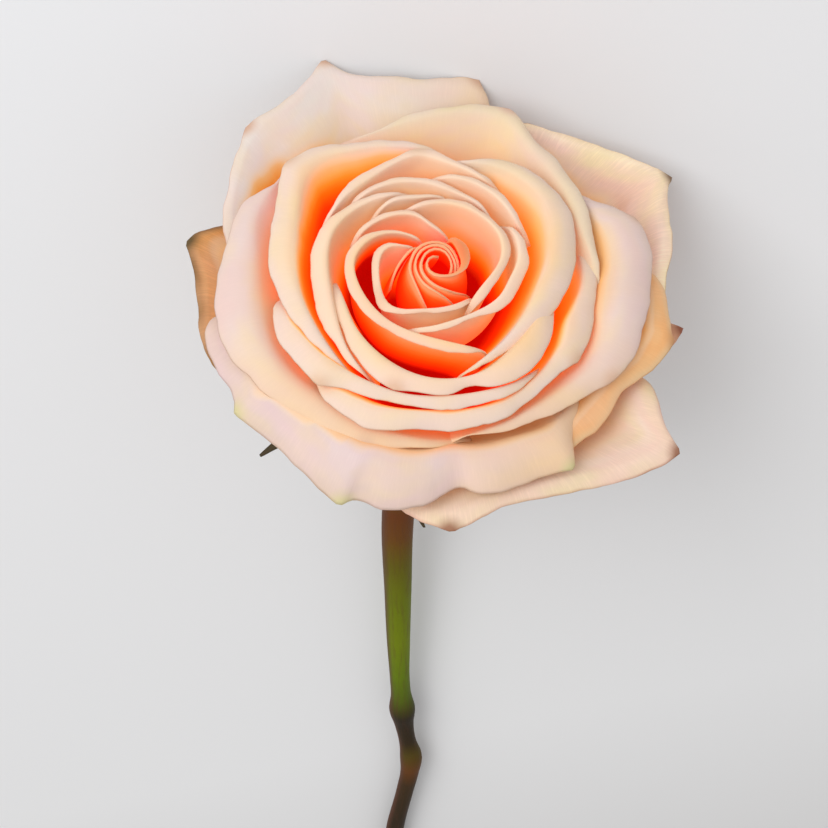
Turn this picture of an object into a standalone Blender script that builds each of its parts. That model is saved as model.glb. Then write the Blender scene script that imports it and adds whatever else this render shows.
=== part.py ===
"""A cut rose that lies on a table: an open bloom, its calyx and a plain length of stem.

The bloom is modelled upright about its own axis, and then turned over onto its side, so that
three low points carry it: two petals of the outer whorl and the cut end of the stem.
Lengths in the tables are millimetres, heights are above the seat of the petals, and angles
are degrees round the bloom's axis. The object is built in metres. Its row has the stem along
+Y and the table at height 0.
"""
import math

import bmesh
import bpy
import numpy as np
from mathutils import Matrix, Vector

MM = 0.001

# How the flower lies
FACE_UP = math.radians(30)  # the bloom's axis points this far above the table
FACE_ASIDE = math.radians(5.5)  # and this far to one side of the stem
FACE_TWIST = math.radians(2.9)  # turned this far about its own axis
ROLL = math.radians(-5.6)  # the whole rose is turned this far about its length
SEAT = (3.8, -83.2, 36.1)  # where the seat of the petals lies

# Petals
BLADE = 0.7
ROOT_RADIUS = 4.5  # all petals start inside the core
ROOT_RISE = 1.0  # each petal inwards is seated this much higher
ROOT_NARROW = 0.35  # share of a petal's spread left at its root
WAIST_NARROW = 0.75  # the same at its waist
BELLY_RISE = 0.12  # height of the waist's handle, as a share of the wall
LIP_DROP = 0.32  # fall of a rolled lip, as a share of its reach
LIP_RISE = 0.42  # how far the lip runs on upwards before it turns, in the same way
LIP_HOOK = 0.16  # how steeply it comes down at its edge, in the same way
COLUMN_SHARE = 0.6  # distance between a petal's columns, as a share of its rim's radius
COLUMN_LEAST = 4.0
COLUMN_MOST = 12.0
WALL_ROWS = 3
LIP_ROWS = 2

# Core that the petals stand in: radius and height
CORE_PROFILE = (
    (8.5, -2.0), (10.0, 0.0), (13.0, 5.0), (15.0, 11.0), (14.5, 18.0), (12.0, 24.5), (7.5, 31.0), (3.0, 35.0)
)
CORE_SIDES = 20

# Calyx
HIP_PROFILE = ((8.6, -2.3), (7.6, -4.0), (6.6, -7.0), (6.4, -10.0), (5.6, -13.5), (4.4, -17.0))
SEPALS = ((205, 42.6, 3), (259, 37.5, 14), (341, 36, 4), (57, 31, 5), (131, 32, 4))  # angle, reach, curl
SEPAL_ROOT = (4.0, -4.2)  # radius and height where each leaves the hip
SEPAL_ARCH = 3.0
SEPAL_DROOP = 7.0
SEPAL_WIDTH = 7.5
SEPAL_TIP = 0.9
SEPAL_SAG = 0.12  # how far its sides hang below its midrib, as a share of its half width
SEPAL_THICK = 0.9
SEPAL_ROWS = 8

# Stem: where its middle runs from the seat of the petals (sideways, along, up) and its radius
STEM_ROUTE = (
    (1.4, 14.9, -8.7, 4.4),
    (2.8, 29.0, -15.2, 4.4),
    (4.4, 45.0, -19.8, 4.4),
    (5.6, 61.0, -22.5, 4.3),
    (5.7, 88.0, -25.6, 3.7),
    (5.6, 108.0, -27.4, 3.2),
    (5.3, 121.0, -28.4, 2.8),
    (5.0, 127.0, -28.9, 2.9),
    (4.7, 132.5, -29.2, 3.7),
    (4.2, 138.0, -29.6, 2.8),
    (3.2, 145.5, -30.1, 2.45),
    (2.2, 152.0, -30.6, 3.2),
    (2.6, 158.0, -31.0, 2.7),
    (4.0, 166.0, -31.6, 2.5),
    (7.0, 182.0, -32.7, 2.6),
    (8.2, 205.0, -33.9, 2.6),
    (5.5, 232.0, -34.2, 2.6),
)
STEM_POINTS = 40
STEM_SIDES = 12
CUT_SLANT = math.radians(35)
CUT_BACK = 4.0  # the slanted cut passes this far before the route's end

# Colours and roughness
PETAL_LOOK = ((0.95, 0.62, 0.42), 0.6)
SEPAL_LOOK = ((0.22, 0.25, 0.08), 0.65)
STEM_LOOK = ((0.16, 0.22, 0.05), 0.5)
SHARP = math.radians(40)

# The bloom's petals from the outside in. Each has the way its wall reaches its crest: how far
# inside the crest and how far below it the curve's handle is, the width of its waist as a share
# of the handle's, and how much of the crest's unevenness stays out of the handle. Then its rim:
# angle, radius, height and reach of the rolled lip. A fifth value of 1 marks a sharp corner.
PETALS = {
    "guard_right": (20, 9, 0.62, 0.6, (
        (18, 42, 12, 1), (8, 49, 19, 2), (0.5, 56, 25, 2), (358.3, 59.2, 26.5, 2, 1),
        (354, 56.8, 25.5, 2), (347, 50, 20, 2), (335, 43, 12, 1))),
    "guard_left": (20, 9, 0.62, 0.6, (
        (143, 44, 17, 1), (151, 52, 21, 2), (156, 55.2, 23, 3), (160, 58.4, 24, 3),
        (162.8, 59.8, 24, 3, 1), (166, 57.4, 23.5, 3), (169, 55.4, 23, 3), (177, 53.3, 22, 2.5),
        (187, 52.3, 21, 2.5), (193, 51, 19, 2), (199, 47, 14, 1))),
    "guard_low": (20, 9, 0.62, 0.6, (
        (350, 43, 18, 1), (343, 52, 26, 2), (332, 61, 28, 3), (329, 66, 27, 4, 1), (318, 61, 27, 4),
        (303, 54, 27, 4), (284, 52, 27, 4), (275, 55, 26, 4, 1), (263, 50, 24, 3), (252, 43, 17, 1))),
    "guard_top": (20, 9, 0.62, 0.6, (
        (172, 43, 20, 1), (157, 52, 29, 2), (141, 59, 32, 3), (134, 63, 32, 3, 1), (123, 63.2, 33, 3),
        (117.5, 65.3, 33, 3), (113.8, 68, 33, 3.5), (111.6, 69.8, 33, 4, 1), (110, 66.8, 33, 3.5),
        (107.5, 63.8, 33.5, 3), (102, 61.2, 34.5, 3), (90, 59.6, 35, 3), (79, 61, 35, 3, 1),
        (75.5, 56, 33, 2.5), (73, 51, 31, 2), (70, 43, 20, 1))),
    "guard_corner": (20, 9, 0.62, 0.6, (
        (70, 44, 20, 1), (66, 56, 30, 2), (58, 57.2, 31, 3), (49, 60, 31, 3), (40, 65.3, 30, 4),
        (35.3, 69, 29, 4), (33.4, 70.3, 28.5, 4, 1), (32, 67.5, 29, 4), (28, 64.5, 29, 4),
        (16, 59.2, 30, 4), (10.4, 56.8, 29.5, 4), (4, 54.5, 27, 3), (358, 44, 17, 1))),
    "outer_right": (9, 8, 0.74, 0.6, (
        (22, 44, 27, 1), (9, 53, 32, 5), (357, 55.6, 31.5, 8), (352, 56.6, 31.5, 8, 1),
        (343.6, 52.4, 31, 7.5), (333.5, 48.8, 31, 7), (322, 48, 30, 5.5), (315, 47.4, 30, 5),
        (306, 46.4, 28.4, 4), (297, 44.4, 26.5, 2), (288, 41.5, 20, 1))),
    "guard_front": (6, 9, 0.82, 0.6, (
        (180, 42, 24, 2), (190, 52, 31, 8), (201, 51.6, 30, 10), (209, 51.1, 30, 11),
        (214.3, 53.2, 30, 12, 1), (221, 51.3, 30, 12), (230, 50.9, 30, 12), (238, 52.2, 30, 13),
        (244.5, 54, 30, 14), (248.5, 55.2, 30, 14, 1), (250.5, 52.9, 30, 14), (259, 52.8, 30, 13),
        (267, 50.9, 30, 12), (278.5, 46.9, 30.5, 10), (281, 48.4, 30.8, 10), (294, 49, 31, 10),
        (303, 50.2, 31, 10), (307.8, 51.8, 31, 10, 1), (314, 45.5, 31.5, 5), (325, 40.8, 31, 1.5),
        (331, 40.4, 26, 1))),
    "outer_lip_right": (9, 8, 0.74, 0.6, (
        (48, 44, 31, 1.5), (39, 43.6, 36.5, 3), (32.5, 46.6, 37.5, 5.5), (24, 51.4, 38, 8, 1),
        (17, 52, 37.5, 9), (10, 51.6, 37, 10), (2, 49.8, 37, 10), (354, 48.9, 37, 10),
        (345, 47.7, 36.5, 8), (332.5, 45.8, 36, 6.4, 1), (320.5, 41.5, 36, 4), (306, 39.2, 36.5, 2.6),
        (293, 38, 36.5, 1.5), (281, 37.2, 35.5, 0.8), (273, 36.8, 32, 0.6))),
    "outer_top": (9, 8, 0.74, 0.6, (
        (129, 44, 33, 1), (117, 42.6, 39.5, 1), (106.7, 43.6, 39.5, 1.5), (97, 45.6, 39.3, 2),
        (85.4, 49.2, 39, 3), (75, 51.8, 38.6, 3.6), (69, 52.8, 38.5, 4, 1), (65.5, 50.5, 38.8, 4),
        (59.5, 47, 39.3, 4), (50, 44.8, 40, 4), (38.4, 42.6, 40.3, 4), (28, 40.4, 40.7, 4),
        (19, 39, 40.5, 2.6), (10, 38.3, 40, 1.5), (2, 37.6, 37, 0.8), (354, 37, 33, 0.6))),
    "outer_lip_left": (9, 8, 0.74, 0.6, (
        (136, 46, 36, 1), (147, 45, 39, 1.5), (156, 48, 38, 4), (168, 48, 37, 7), (186, 49.4, 36, 10),
        (193, 49.8, 36, 10), (199, 49.4, 35.6, 9.6), (211, 46.8, 35, 7.4), (230, 43, 34.6, 6.2),
        (248, 42.2, 34.6, 5.4, 1), (259, 39.9, 34.8, 3), (270, 38.6, 34.6, 1.6), (279, 36.8, 33, 0.8),
        (285, 35.4, 29, 0.6))),
    "middle_low": (4, 11, 0.82, 0.5, (
        (30, 35.5, 34, 0.8), (18, 36, 38.5, 1.5), (5, 36.8, 39, 2.6), (352, 36.5, 39, 5),
        (340, 37, 39, 7), (330.5, 37.6, 39, 6.2, 1), (326.5, 36, 39.2, 4.4), (318.5, 34.5, 39.5, 2.4),
        (308, 34.9, 39, 2.6), (298, 36.2, 39, 3.6), (284, 36.5, 39, 4), (270, 36.5, 39, 4.2),
        (258, 37.6, 39, 4.6), (249, 39.2, 38.6, 5.4), (240, 39, 38.5, 5.2), (231.4, 38.2, 38.5, 4.2),
        (225.5, 36.6, 38, 2), (221, 35, 36.5, 0.8), (217, 34.4, 33, 0.6))),
    "middle_left": (5, 11, 0.82, 0.6, (
        (78, 33.5, 39, 0.8), (89, 33.5, 43, 1), (104, 36.5, 43.5, 2), (120, 40, 43, 3), (131, 44, 42, 5),
        (139, 45, 42, 6, 1), (148, 42, 42, 6), (160, 39, 42.5, 6), (174, 37.8, 43, 6.4), (190, 36, 43, 5),
        (204, 33.8, 43, 3.4), (216, 32.5, 43, 2), (228, 31.6, 42, 0.8), (236, 31.2, 39, 0.6))),
    "middle_front": (4, 11, 0.82, 0.5, (
        (186, 34.6, 36, 0.8), (192, 36.8, 40, 2.4), (203, 38, 41, 4.4), (215, 38, 41, 5.4),
        (227, 37.7, 41, 6, 1), (232, 35.4, 41, 4.2), (243, 33.9, 41.5, 3.2), (254, 32.4, 41.5, 2),
        (269, 32.5, 41.5, 2.6), (284, 32.4, 41.5, 2.6), (296, 33, 41.5, 2.6), (305, 32.4, 41, 1.6),
        (314, 31.6, 40, 0.8), (321, 31.2, 37, 0.6))),
    "middle_right": (3.5, 11, 0.8, 0.5, (
        (90, 31.5, 40, 0.8), (78, 31, 44.5, 1), (64, 34.5, 44, 2.5), (45, 37, 43, 5), (26, 35, 43, 6.5),
        (8, 32, 43, 7), (354, 29.3, 43, 6.6), (342, 27.4, 43, 5.4), (328, 26, 43, 4.4),
        (314, 24.5, 43, 2.6), (302, 24.2, 43, 1.6), (292, 24.4, 43, 0.9), (284, 25, 42, 0.4),
        (279, 25.2, 38, 0.3))),
    "inner_front": (3, 12, 0.78, 0.6, (
        (178, 22.6, 36, 0.8), (187, 23.2, 42, 1), (198, 24.4, 43.5, 2.6), (212, 25.3, 43.5, 2.6),
        (226, 27.1, 43, 3.6), (240, 29, 43, 4.4), (251, 30.3, 43, 4.7, 1), (262, 29.6, 43, 3.4),
        (275, 29.8, 43, 3.2), (287, 28.8, 43, 2.4), (293, 29.8, 43, 3.4), (304, 30.5, 43, 5),
        (315, 30.8, 43, 6), (327, 30, 43, 5.4), (338, 28.4, 42.4, 4), (346, 27.4, 41, 3),
        (354, 27, 37, 2))),
    "ring_top": (2.5, 13, 0.8, 0.5, (
        (160, 28.5, 40, 0.8), (147, 28.5, 45, 0.8), (122, 30, 45, 2), (98, 33, 45, 2, 1),
        (82, 30, 45, 1.5), (66, 28.5, 45, 1.5), (57, 29, 40, 0.8))),
    "ring_left": (2, 13, 0.76, 0.5, (
        (101, 22.5, 40, 0.8), (113, 22.3, 45, 1), (142, 26, 45, 2), (161, 28, 45, 3),
        (176, 28.1, 44.5, 3.6), (192, 28.2, 44, 4), (206, 28.6, 43.5, 3.6), (218, 28.9, 43, 2.2),
        (229, 29.5, 42.5, 1.2), (238, 29.6, 41.5, 0.6), (244, 29.6, 38, 0.5))),
    "ring_right": (2, 13, 0.78, 0.3, (
        (97, 26.5, 40, 0.8), (84, 26, 45, 1), (60, 26.5, 45, 2), (41, 24.5, 45, 1.5),
        (26, 24.5, 40, 0.8))),
    "ring_back": (1.5, 13, 0.76, 0.4, (
        (147, 25.5, 40, 0.6), (136, 26.2, 44.5, 0.8), (118, 26.4, 45, 1.5), (99, 25, 45, 1.5),
        (77, 22.5, 45, 1.5), (58, 21, 45, 1), (46, 20, 41, 0.8))),
    "ring_corner": (-1, 13, 0.72, 0.4, (
        (46, 22, 40, 0.8), (33, 22, 45, 1.5), (13, 21, 45, 2), (355, 18.8, 44, 2.6), (341, 18, 44, 2.6),
        (326, 16, 44, 2), (312, 14, 44, 1.2), (298, 13.5, 43.8, 1.2), (283, 13.6, 43.8, 1.2),
        (267, 14.4, 43.4, 1.2), (252, 14.8, 42.6, 0.8), (240, 14.8, 39, 0.5))),
    "ring_inside": (0.5, 12, 0.74, 0.3, (
        (136, 21, 41, 0.8), (124, 21, 46, 1), (102, 20, 46, 1), (88, 20.5, 45, 1), (78, 20, 41, 0.8))),
    "heart_right": (-1.5, 12, 0.66, 0.5, (
        (124, 15.8, 42, 0.6), (109, 16.8, 46, 1), (86, 18.6, 46, 1.2), (57, 19, 46, 1.6),
        (30, 18.8, 45.5, 2), (15, 17, 45, 2), (2, 14.8, 45, 2), (340, 12.2, 44.5, 1.8),
        (322, 11.2, 43.5, 1.2), (310, 11, 40, 0.5))),
    "heart_back": (-2.5, 12, 0.66, 0.5, (
        (166, 20.4, 40, 0.6), (155, 20, 45, 1), (139, 19.4, 45.5, 1.2), (124, 17.8, 46, 1.2),
        (108, 15.6, 46, 1.2), (97, 12.4, 46, 1), (85, 11.2, 45, 0.8), (72, 11, 41, 0.5))),
    "heart_left": (-4.2, 12, 0.6, 0.6, (
        (108, 9.6, 42, 0.5), (119, 10, 45.6, 0.8), (132, 13.2, 46, 1.1), (144, 16.2, 46, 1.4),
        (158, 18.8, 46, 1.8), (174, 20.8, 45, 2), (188, 20.2, 44.5, 2), (203, 19.2, 44, 1.9),
        (217, 18.9, 43.5, 2.2), (232, 18, 43, 1.9), (250, 17.6, 43, 1.9), (266, 17.9, 43, 1.9),
        (279, 19.1, 43, 2), (291, 20.4, 42.8, 1.6), (300, 21, 41.5, 0.8), (306, 21, 37, 0.5))),
    "heart_front": (-2.1, 12, 0.7, 0.5, (
        (122, 8.3, 42, 0.4), (131, 8.8, 44.6, 0.5), (140, 10.2, 45.2, 0.8), (149, 13, 45.4, 1),
        (158, 14.3, 45, 1.3), (178, 14.5, 44.6, 1.5), (194, 14.5, 44.2, 1.4), (206, 14.8, 43.7, 1.4, 1),
        (217, 15, 43.2, 1.5), (225, 14.2, 43.7, 1.3), (232, 13, 43.6, 1), (242, 11.4, 43.8, 1),
        (256, 10.3, 43.8, 1), (275, 9.7, 43.8, 1), (292, 9.6, 43.8, 1), (308, 9.7, 43.6, 0.9),
        (320, 9.7, 43, 0.8), (330, 9.6, 41.6, 0.6), (337, 9.5, 37, 0.5))),
    "bud_fold": (-2.5, 8, 1.1, 0, (
        (116, 7.9, 42, 0.3), (130, 8, 45, 0.3), (146, 8.2, 44.6, 0.3), (162, 8.8, 43.4, 0.3),
        (178, 9.6, 41.8, 0.3), (190, 10.4, 39.4, 0.3))),
    "bud_outer": (-3, 7, 1.15, 0, (
        (352, 4.6, 43.5, 0.3), (8, 5, 45, 0.3), (40, 5.8, 45.8, 0.4), (75, 7.2, 46, 0.4),
        (100, 7.4, 46, 0.4), (125, 7.2, 45.8, 0.4), (150, 6.5, 45.4, 0.3), (178, 6.1, 45.2, 0.3),
        (209, 5.9, 45.1, 0.3), (229, 6.3, 44.2, 0.3), (243, 7, 43, 0.3), (254, 7.8, 41.6, 0.3),
        (266, 8.8, 38.6, 0.3))),
    "bud_middle": (-3, 7, 1.15, 0, (
        (352, 4, 44, 0.3), (10, 4.4, 45.4, 0.3), (45, 5, 46, 0.3), (75, 6.3, 46.2, 0.4),
        (100, 6.5, 46.2, 0.4), (125, 6.2, 46, 0.4), (150, 5.5, 45.8, 0.3), (178, 5, 45.9, 0.3),
        (205, 4.7, 46, 0.3), (232, 4.8, 45.9, 0.3), (262, 5.1, 45.4, 0.3), (282, 5.8, 44.4, 0.3),
        (298, 6.9, 42.5, 0.3), (308, 8, 39.6, 0.3))),
    "bud_inner": (-3, 7, 1.15, 0, (
        (340, 3, 44.6, 0.3), (10, 3.5, 46, 0.3), (45, 4.2, 46.4, 0.3), (70, 5.2, 46.5, 0.4),
        (95, 5.5, 46.5, 0.4), (120, 5, 46.3, 0.4), (150, 4.1, 46.3, 0.3), (190, 3.6, 46.5, 0.3),
        (230, 3.7, 46.6, 0.3), (262, 4.2, 46.2, 0.3), (292, 5, 45.2, 0.3), (318, 6.2, 43, 0.3),
        (336, 7.5, 40.6, 0.3), (346, 8.4, 37.6, 0.3))),
    "bud_mouth": (-2.4, 7, 1.2, 0, (
        (84, 3.6, 45.8, 0.3), (110, 3.6, 46.2, 0.3), (134, 3.2, 46.5, 0.3), (160, 2.7, 46.8, 0.3),
        (200, 2.3, 47, 0.4), (245, 2.1, 47, 0.4), (285, 2.3, 47, 0.4), (315, 2.9, 46.8, 0.4),
        (335, 3.9, 46.5, 0.5), (352, 5, 46.2, 0.6), (8, 6.6, 46, 1.2), (22, 7.9, 46, 2),
        (34, 8.9, 45.8, 2.8), (45, 9.6, 45.6, 3), (57, 10, 45.6, 2.7), (66, 9.9, 45.4, 1.6),
        (75, 9.6, 42, 0.6))),
}


def clear_scene():
    """Removes what Blender starts with."""
    for thing in list(bpy.data.objects):
        bpy.data.objects.remove(thing)


def new_collection(name):
    """A collection under the scene's own."""
    collection = bpy.data.collections.new(name)
    bpy.context.scene.collection.children.link(collection)
    return collection


def material(name, colour, roughness):
    """A plain Principled material."""
    mat = bpy.data.materials.new(name)
    mat.use_nodes = True
    shader = mat.node_tree.nodes["Principled BSDF"]
    shader.inputs["Base Color"].default_value = (*colour, 1)
    shader.inputs["Roughness"].default_value = roughness
    shader.inputs["Metallic"].default_value = 0
    return mat


def add_object(name, mesh, collection):
    """An object that holds the mesh."""
    thing = bpy.data.objects.new(name, mesh)
    collection.objects.link(thing)
    return thing


def evaluated_mesh(thing):
    """The object's mesh with its modifiers applied, or a curve's as a mesh."""
    bpy.context.view_layer.update()
    graph = bpy.context.evaluated_depsgraph_get()
    return bpy.data.meshes.new_from_object(thing.evaluated_get(graph))


def smooth_through(places, values, corners, at):
    """A cubic curve through the values, with a sharp turn at each corner."""
    step = np.diff(places)[:, None]
    slope = np.diff(values, axis=0) / step
    middle = (slope[:-1] * step[1:] + slope[1:] * step[:-1]) / (step[:-1] + step[1:])
    leave = np.vstack([slope[:1], middle, slope[-1:]])
    arrive = leave.copy()
    for k in corners:
        leave[k] = slope[k]
        arrive[k] = slope[k - 1]
    span = np.clip(np.searchsorted(places, at, side="right") - 1, 0, len(places) - 2)
    width = step[span]
    u = ((at - places[span])[:, None]) / width
    near = values[span] * (2 * u**3 - 3 * u**2 + 1) + leave[span] * width * (u**3 - 2 * u**2 + u)
    far = values[span + 1] * (3 * u**2 - 2 * u**3) + arrive[span + 1] * width * (u**3 - u**2)
    return near + far


def rim_columns(rim):
    """The rim as rows of angle, radius, height and lip, evenly spaced and at each corner."""
    values = np.array([point[:4] for point in rim], dtype=float)
    values[:, 0] = np.degrees(np.unwrap(np.radians(values[:, 0])))
    corners = [k for k, point in enumerate(rim) if len(point) > 4]
    angle = np.radians(values[:, 0])
    flat = np.column_stack([np.cos(angle) * values[:, 1], np.sin(angle) * values[:, 1], values[:, 2]])
    lengths = np.linalg.norm(np.diff(flat, axis=0), axis=1)
    places = np.concatenate([[0], np.cumsum(lengths)])
    step = min(max(values[:, 1].mean() * COLUMN_SHARE, COLUMN_LEAST), COLUMN_MOST)
    stops = [places[0], *places[corners], places[-1]]
    at = [places[0]]
    for one, two in zip(stops, stops[1:]):
        at.extend(np.linspace(one, two, max(1, round((two - one) / step)) + 1)[1:])
    return smooth_through(places, values, corners, np.array(at))


def bezier(points, t):
    """The point at t on a cubic with four control points."""
    weights = ((1 - t) ** 3, 3 * t * (1 - t) ** 2, 3 * t * t * (1 - t), t**3)
    return sum((weight * point for weight, point in zip(weights, points)), Vector())


def place(angle, radius, height):
    """A point from its angle, radius and height round the bloom's axis."""
    return Vector((math.cos(angle) * radius, math.sin(angle) * radius, height))


def petal_column(column, middle, seat, least, wall):
    """One line up a petal: from the root up the wall to the crest, then over the lip."""
    run, drop, waist, flare = wall
    angle, radius, height, lip = column
    angle = math.radians(angle)
    root = middle + (angle - middle) * ROOT_NARROW
    low = middle + (angle - middle) * WAIST_NARROW
    crest_radius = radius - lip
    crest_height = height + lip * LIP_DROP
    foot = crest_radius - run - flare * (crest_radius - least)
    start = place(root, ROOT_RADIUS, seat)
    belly = place(low, foot * waist, seat + (crest_height - seat) * BELLY_RISE)
    handle = place(angle, foot, crest_height - drop)
    crest = place(angle, crest_radius, crest_height)
    edge = place(angle, radius, height)
    rise = (crest - handle).normalized() * (lip * LIP_RISE)
    over = edge + Vector((0, 0, lip * LIP_HOOK))
    wall_points = [bezier((start, belly, handle, crest), k / WALL_ROWS) for k in range(WALL_ROWS)]
    lip_points = [bezier((crest, crest + rise, over, edge), k / LIP_ROWS) for k in range(LIP_ROWS + 1)]
    return wall_points + lip_points


def petal(name, seat, spec, collection):
    """A closed blade that follows its rim, split into triangles alike on both faces."""
    *wall, rim = spec
    columns = rim_columns(rim)
    middle = math.radians((columns[:, 0].min() + columns[:, 0].max()) / 2)
    least = (columns[:, 1] - columns[:, 3]).min()
    bm = bmesh.new()
    grid = [
        [bm.verts.new(point * MM) for point in petal_column(column, middle, seat, least, wall)]
        for column in columns
    ]
    for left, right in zip(grid, grid[1:]):
        for k in range(len(left) - 1):
            bm.faces.new((left[k], right[k], right[k + 1], left[k + 1]))
    bmesh.ops.triangulate(bm, faces=bm.faces)
    mesh = bpy.data.meshes.new(name)
    bm.to_mesh(mesh)
    bm.free()
    thing = add_object(name, mesh, collection)
    solidify = thing.modifiers.new("Blade", "SOLIDIFY")
    solidify.thickness = BLADE * MM
    solidify.offset = 0
    return thing


def turned(name, profile, sides, collection):
    """A turned solid, from a profile that runs down its outer side."""
    bm = bmesh.new()
    height_low = profile[-1][1]
    height_top = profile[0][1]
    outline = [(0, height_top), *profile, (0, height_low)]
    points = [bm.verts.new((radius * MM, 0, height * MM)) for radius, height in outline]
    for one, two in zip(points, points[1:]):
        bm.edges.new((one, two))
    mesh = bpy.data.meshes.new(name)
    bm.to_mesh(mesh)
    bm.free()
    thing = add_object(name, mesh, collection)
    screw = thing.modifiers.new("Turn", "SCREW")
    screw.steps = sides
    screw.render_steps = sides
    screw.use_merge_vertices = True
    screw.merge_threshold = 0.00001
    return thing


def sepal(name, angle, reach, curl, collection):
    """A pointed blade that leaves the hip level and bends down towards its tip."""
    root_radius, root_height = SEPAL_ROOT
    bm = bmesh.new()
    lines = []
    for k in range(SEPAL_ROWS + 1):
        t = k / SEPAL_ROWS
        radius = root_radius + (reach - root_radius) * t
        height = root_height + SEPAL_ARCH * math.sin(math.pi * min(1, t * 1.2)) - SEPAL_DROOP * t * t
        swell = (1 - t) ** 0.75 * (0.75 + 0.5 * math.sin(math.pi * t))
        half = (SEPAL_WIDTH * swell + SEPAL_TIP) / 2
        turn = math.radians(angle + curl * t * t)
        line = []
        for side in (-1, 0, 1):
            drop = SEPAL_SAG * abs(side) * half
            point = Vector((radius, side * half, height - drop))
            point.rotate(Matrix.Rotation(turn, 3, "Z"))
            line.append(bm.verts.new(point * MM))
        lines.append(line)
    for one, two in zip(lines, lines[1:]):
        for k in range(2):
            bm.faces.new((one[k], two[k], two[k + 1], one[k + 1]))
    bmesh.ops.triangulate(bm, faces=bm.faces)
    mesh = bpy.data.meshes.new(name)
    bm.to_mesh(mesh)
    bm.free()
    thing = add_object(name, mesh, collection)
    solidify = thing.modifiers.new("Blade", "SOLIDIFY")
    solidify.thickness = SEPAL_THICK * MM
    solidify.offset = 0
    return thing


def body_volume(bm, faces):
    """The signed volume inside some faces: negative for a hollow."""
    total = 0.0
    for face in faces:
        corners = [loop.vert.co for loop in face.loops]
        for one, two in zip(corners[1:], corners[2:]):
            total += corners[0].dot(one.cross(two)) / 6
    return total


def keep_main_body(mesh):
    """Fills sealed hollows and drops loose scraps, so that one closed body is left."""
    bm = bmesh.new()
    bm.from_mesh(mesh)
    bmesh.ops.triangulate(bm, faces=bm.faces)
    left = set(bm.faces)
    bodies = []
    while left:
        stack = [left.pop()]
        body = list(stack)
        while stack:
            face = stack.pop()
            for edge in face.edges:
                for other in edge.link_faces:
                    if other in left:
                        left.remove(other)
                        stack.append(other)
                        body.append(other)
        bodies.append(body)
    bodies.sort(key=lambda body: -body_volume(bm, body))
    for body in bodies[1:]:
        bmesh.ops.delete(bm, geom=body, context="FACES")
    loose = [vert for vert in bm.verts if not vert.link_faces]
    bmesh.ops.delete(bm, geom=loose, context="VERTS")
    bm.to_mesh(mesh)
    bm.free()


def fuse(name, core, blades, collection):
    """One solid from the core and a collection of blades, which are then removed."""
    solid = add_object(name, evaluated_mesh(core), collection)
    bpy.data.objects.remove(core)
    join = solid.modifiers.new("Join", "BOOLEAN")
    join.operation = "UNION"
    join.operand_type = "COLLECTION"
    join.collection = blades
    join.solver = "MANIFOLD"
    mesh = evaluated_mesh(solid)
    solid.modifiers.remove(join)
    keep_main_body(mesh)
    solid.data = mesh
    for blade in list(blades.objects):
        bpy.data.objects.remove(blade)
    bpy.data.collections.remove(blades)
    return solid


def make_bloom(collection):
    """All petals, fused to the core that their roots sink into."""
    blades = new_collection("petals")
    for order, (name, spec) in enumerate(PETALS.items()):
        petal(name, order * ROOT_RISE, spec, blades)
    core = turned("core", tuple(reversed(CORE_PROFILE)), CORE_SIDES, collection)
    return fuse("bloom", core, blades, collection)


def make_calyx(collection):
    """The hip under the bloom with its five sepals."""
    blades = new_collection("sepals")
    for order, (angle, reach, curl) in enumerate(SEPALS):
        sepal(f"sepal_{order}", angle, reach, curl, blades)
    hip = turned("hip", HIP_PROFILE, CORE_SIDES, collection)
    return fuse("calyx", hip, blades, collection)


def make_stem(collection):
    """The stem with its two nodes, cut off at a slant."""
    route = np.array(STEM_ROUTE, dtype=float)
    lengths = np.linalg.norm(np.diff(route[:, :3], axis=0), axis=1)
    places = np.concatenate([[0], np.cumsum(lengths)])
    points = smooth_through(places, route, [], np.linspace(0, places[-1], STEM_POINTS))
    curve = bpy.data.curves.new("stem", "CURVE")
    curve.dimensions = "3D"
    curve.bevel_depth = MM
    curve.bevel_resolution = STEM_SIDES // 2 - 2
    curve.use_fill_caps = True
    spline = curve.splines.new("POLY")
    spline.points.add(len(points) - 1)
    for point, (x, y, z, radius) in zip(spline.points, points):
        point.co = (x * MM, y * MM, z * MM, 1)
        point.radius = radius
    rod = add_object("stem_rod", curve, collection)
    mesh = evaluated_mesh(rod)
    bpy.data.objects.remove(rod)
    bm = bmesh.new()
    bm.from_mesh(mesh)
    bmesh.ops.remove_doubles(bm, verts=bm.verts, dist=0.000001)
    cut_at = (Vector(points[-1][:3]) - Vector((0, CUT_BACK, 0))) * MM
    normal = Vector((0, math.cos(CUT_SLANT), math.sin(CUT_SLANT)))
    cut = bmesh.ops.bisect_plane(
        bm, geom=[*bm.verts, *bm.edges, *bm.faces], plane_co=cut_at, plane_no=normal, clear_outer=True
    )
    edges = [part for part in cut["geom_cut"] if isinstance(part, bmesh.types.BMEdge)]
    bmesh.ops.contextual_create(bm, geom=edges)
    bmesh.ops.recalc_face_normals(bm, faces=bm.faces)
    bm.to_mesh(mesh)
    bm.free()
    return add_object("stem", mesh, collection)


def lay_down(bloom, calyx, stem):
    """Turns the upright bloom onto its side and sets everything on the table."""
    upright_to_row = (
        Matrix.Rotation(-FACE_ASIDE, 4, "Z")
        @ Matrix.Rotation(math.pi / 2 - FACE_UP, 4, "X")
        @ Matrix.Rotation(math.pi + FACE_TWIST, 4, "Z")
    )
    settle = Matrix.Translation(Vector(SEAT) * MM) @ Matrix.Rotation(ROLL, 4, "Y")
    for thing in (bloom, calyx):
        thing.data.transform(settle @ upright_to_row)
    stem.data.transform(settle)


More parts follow.
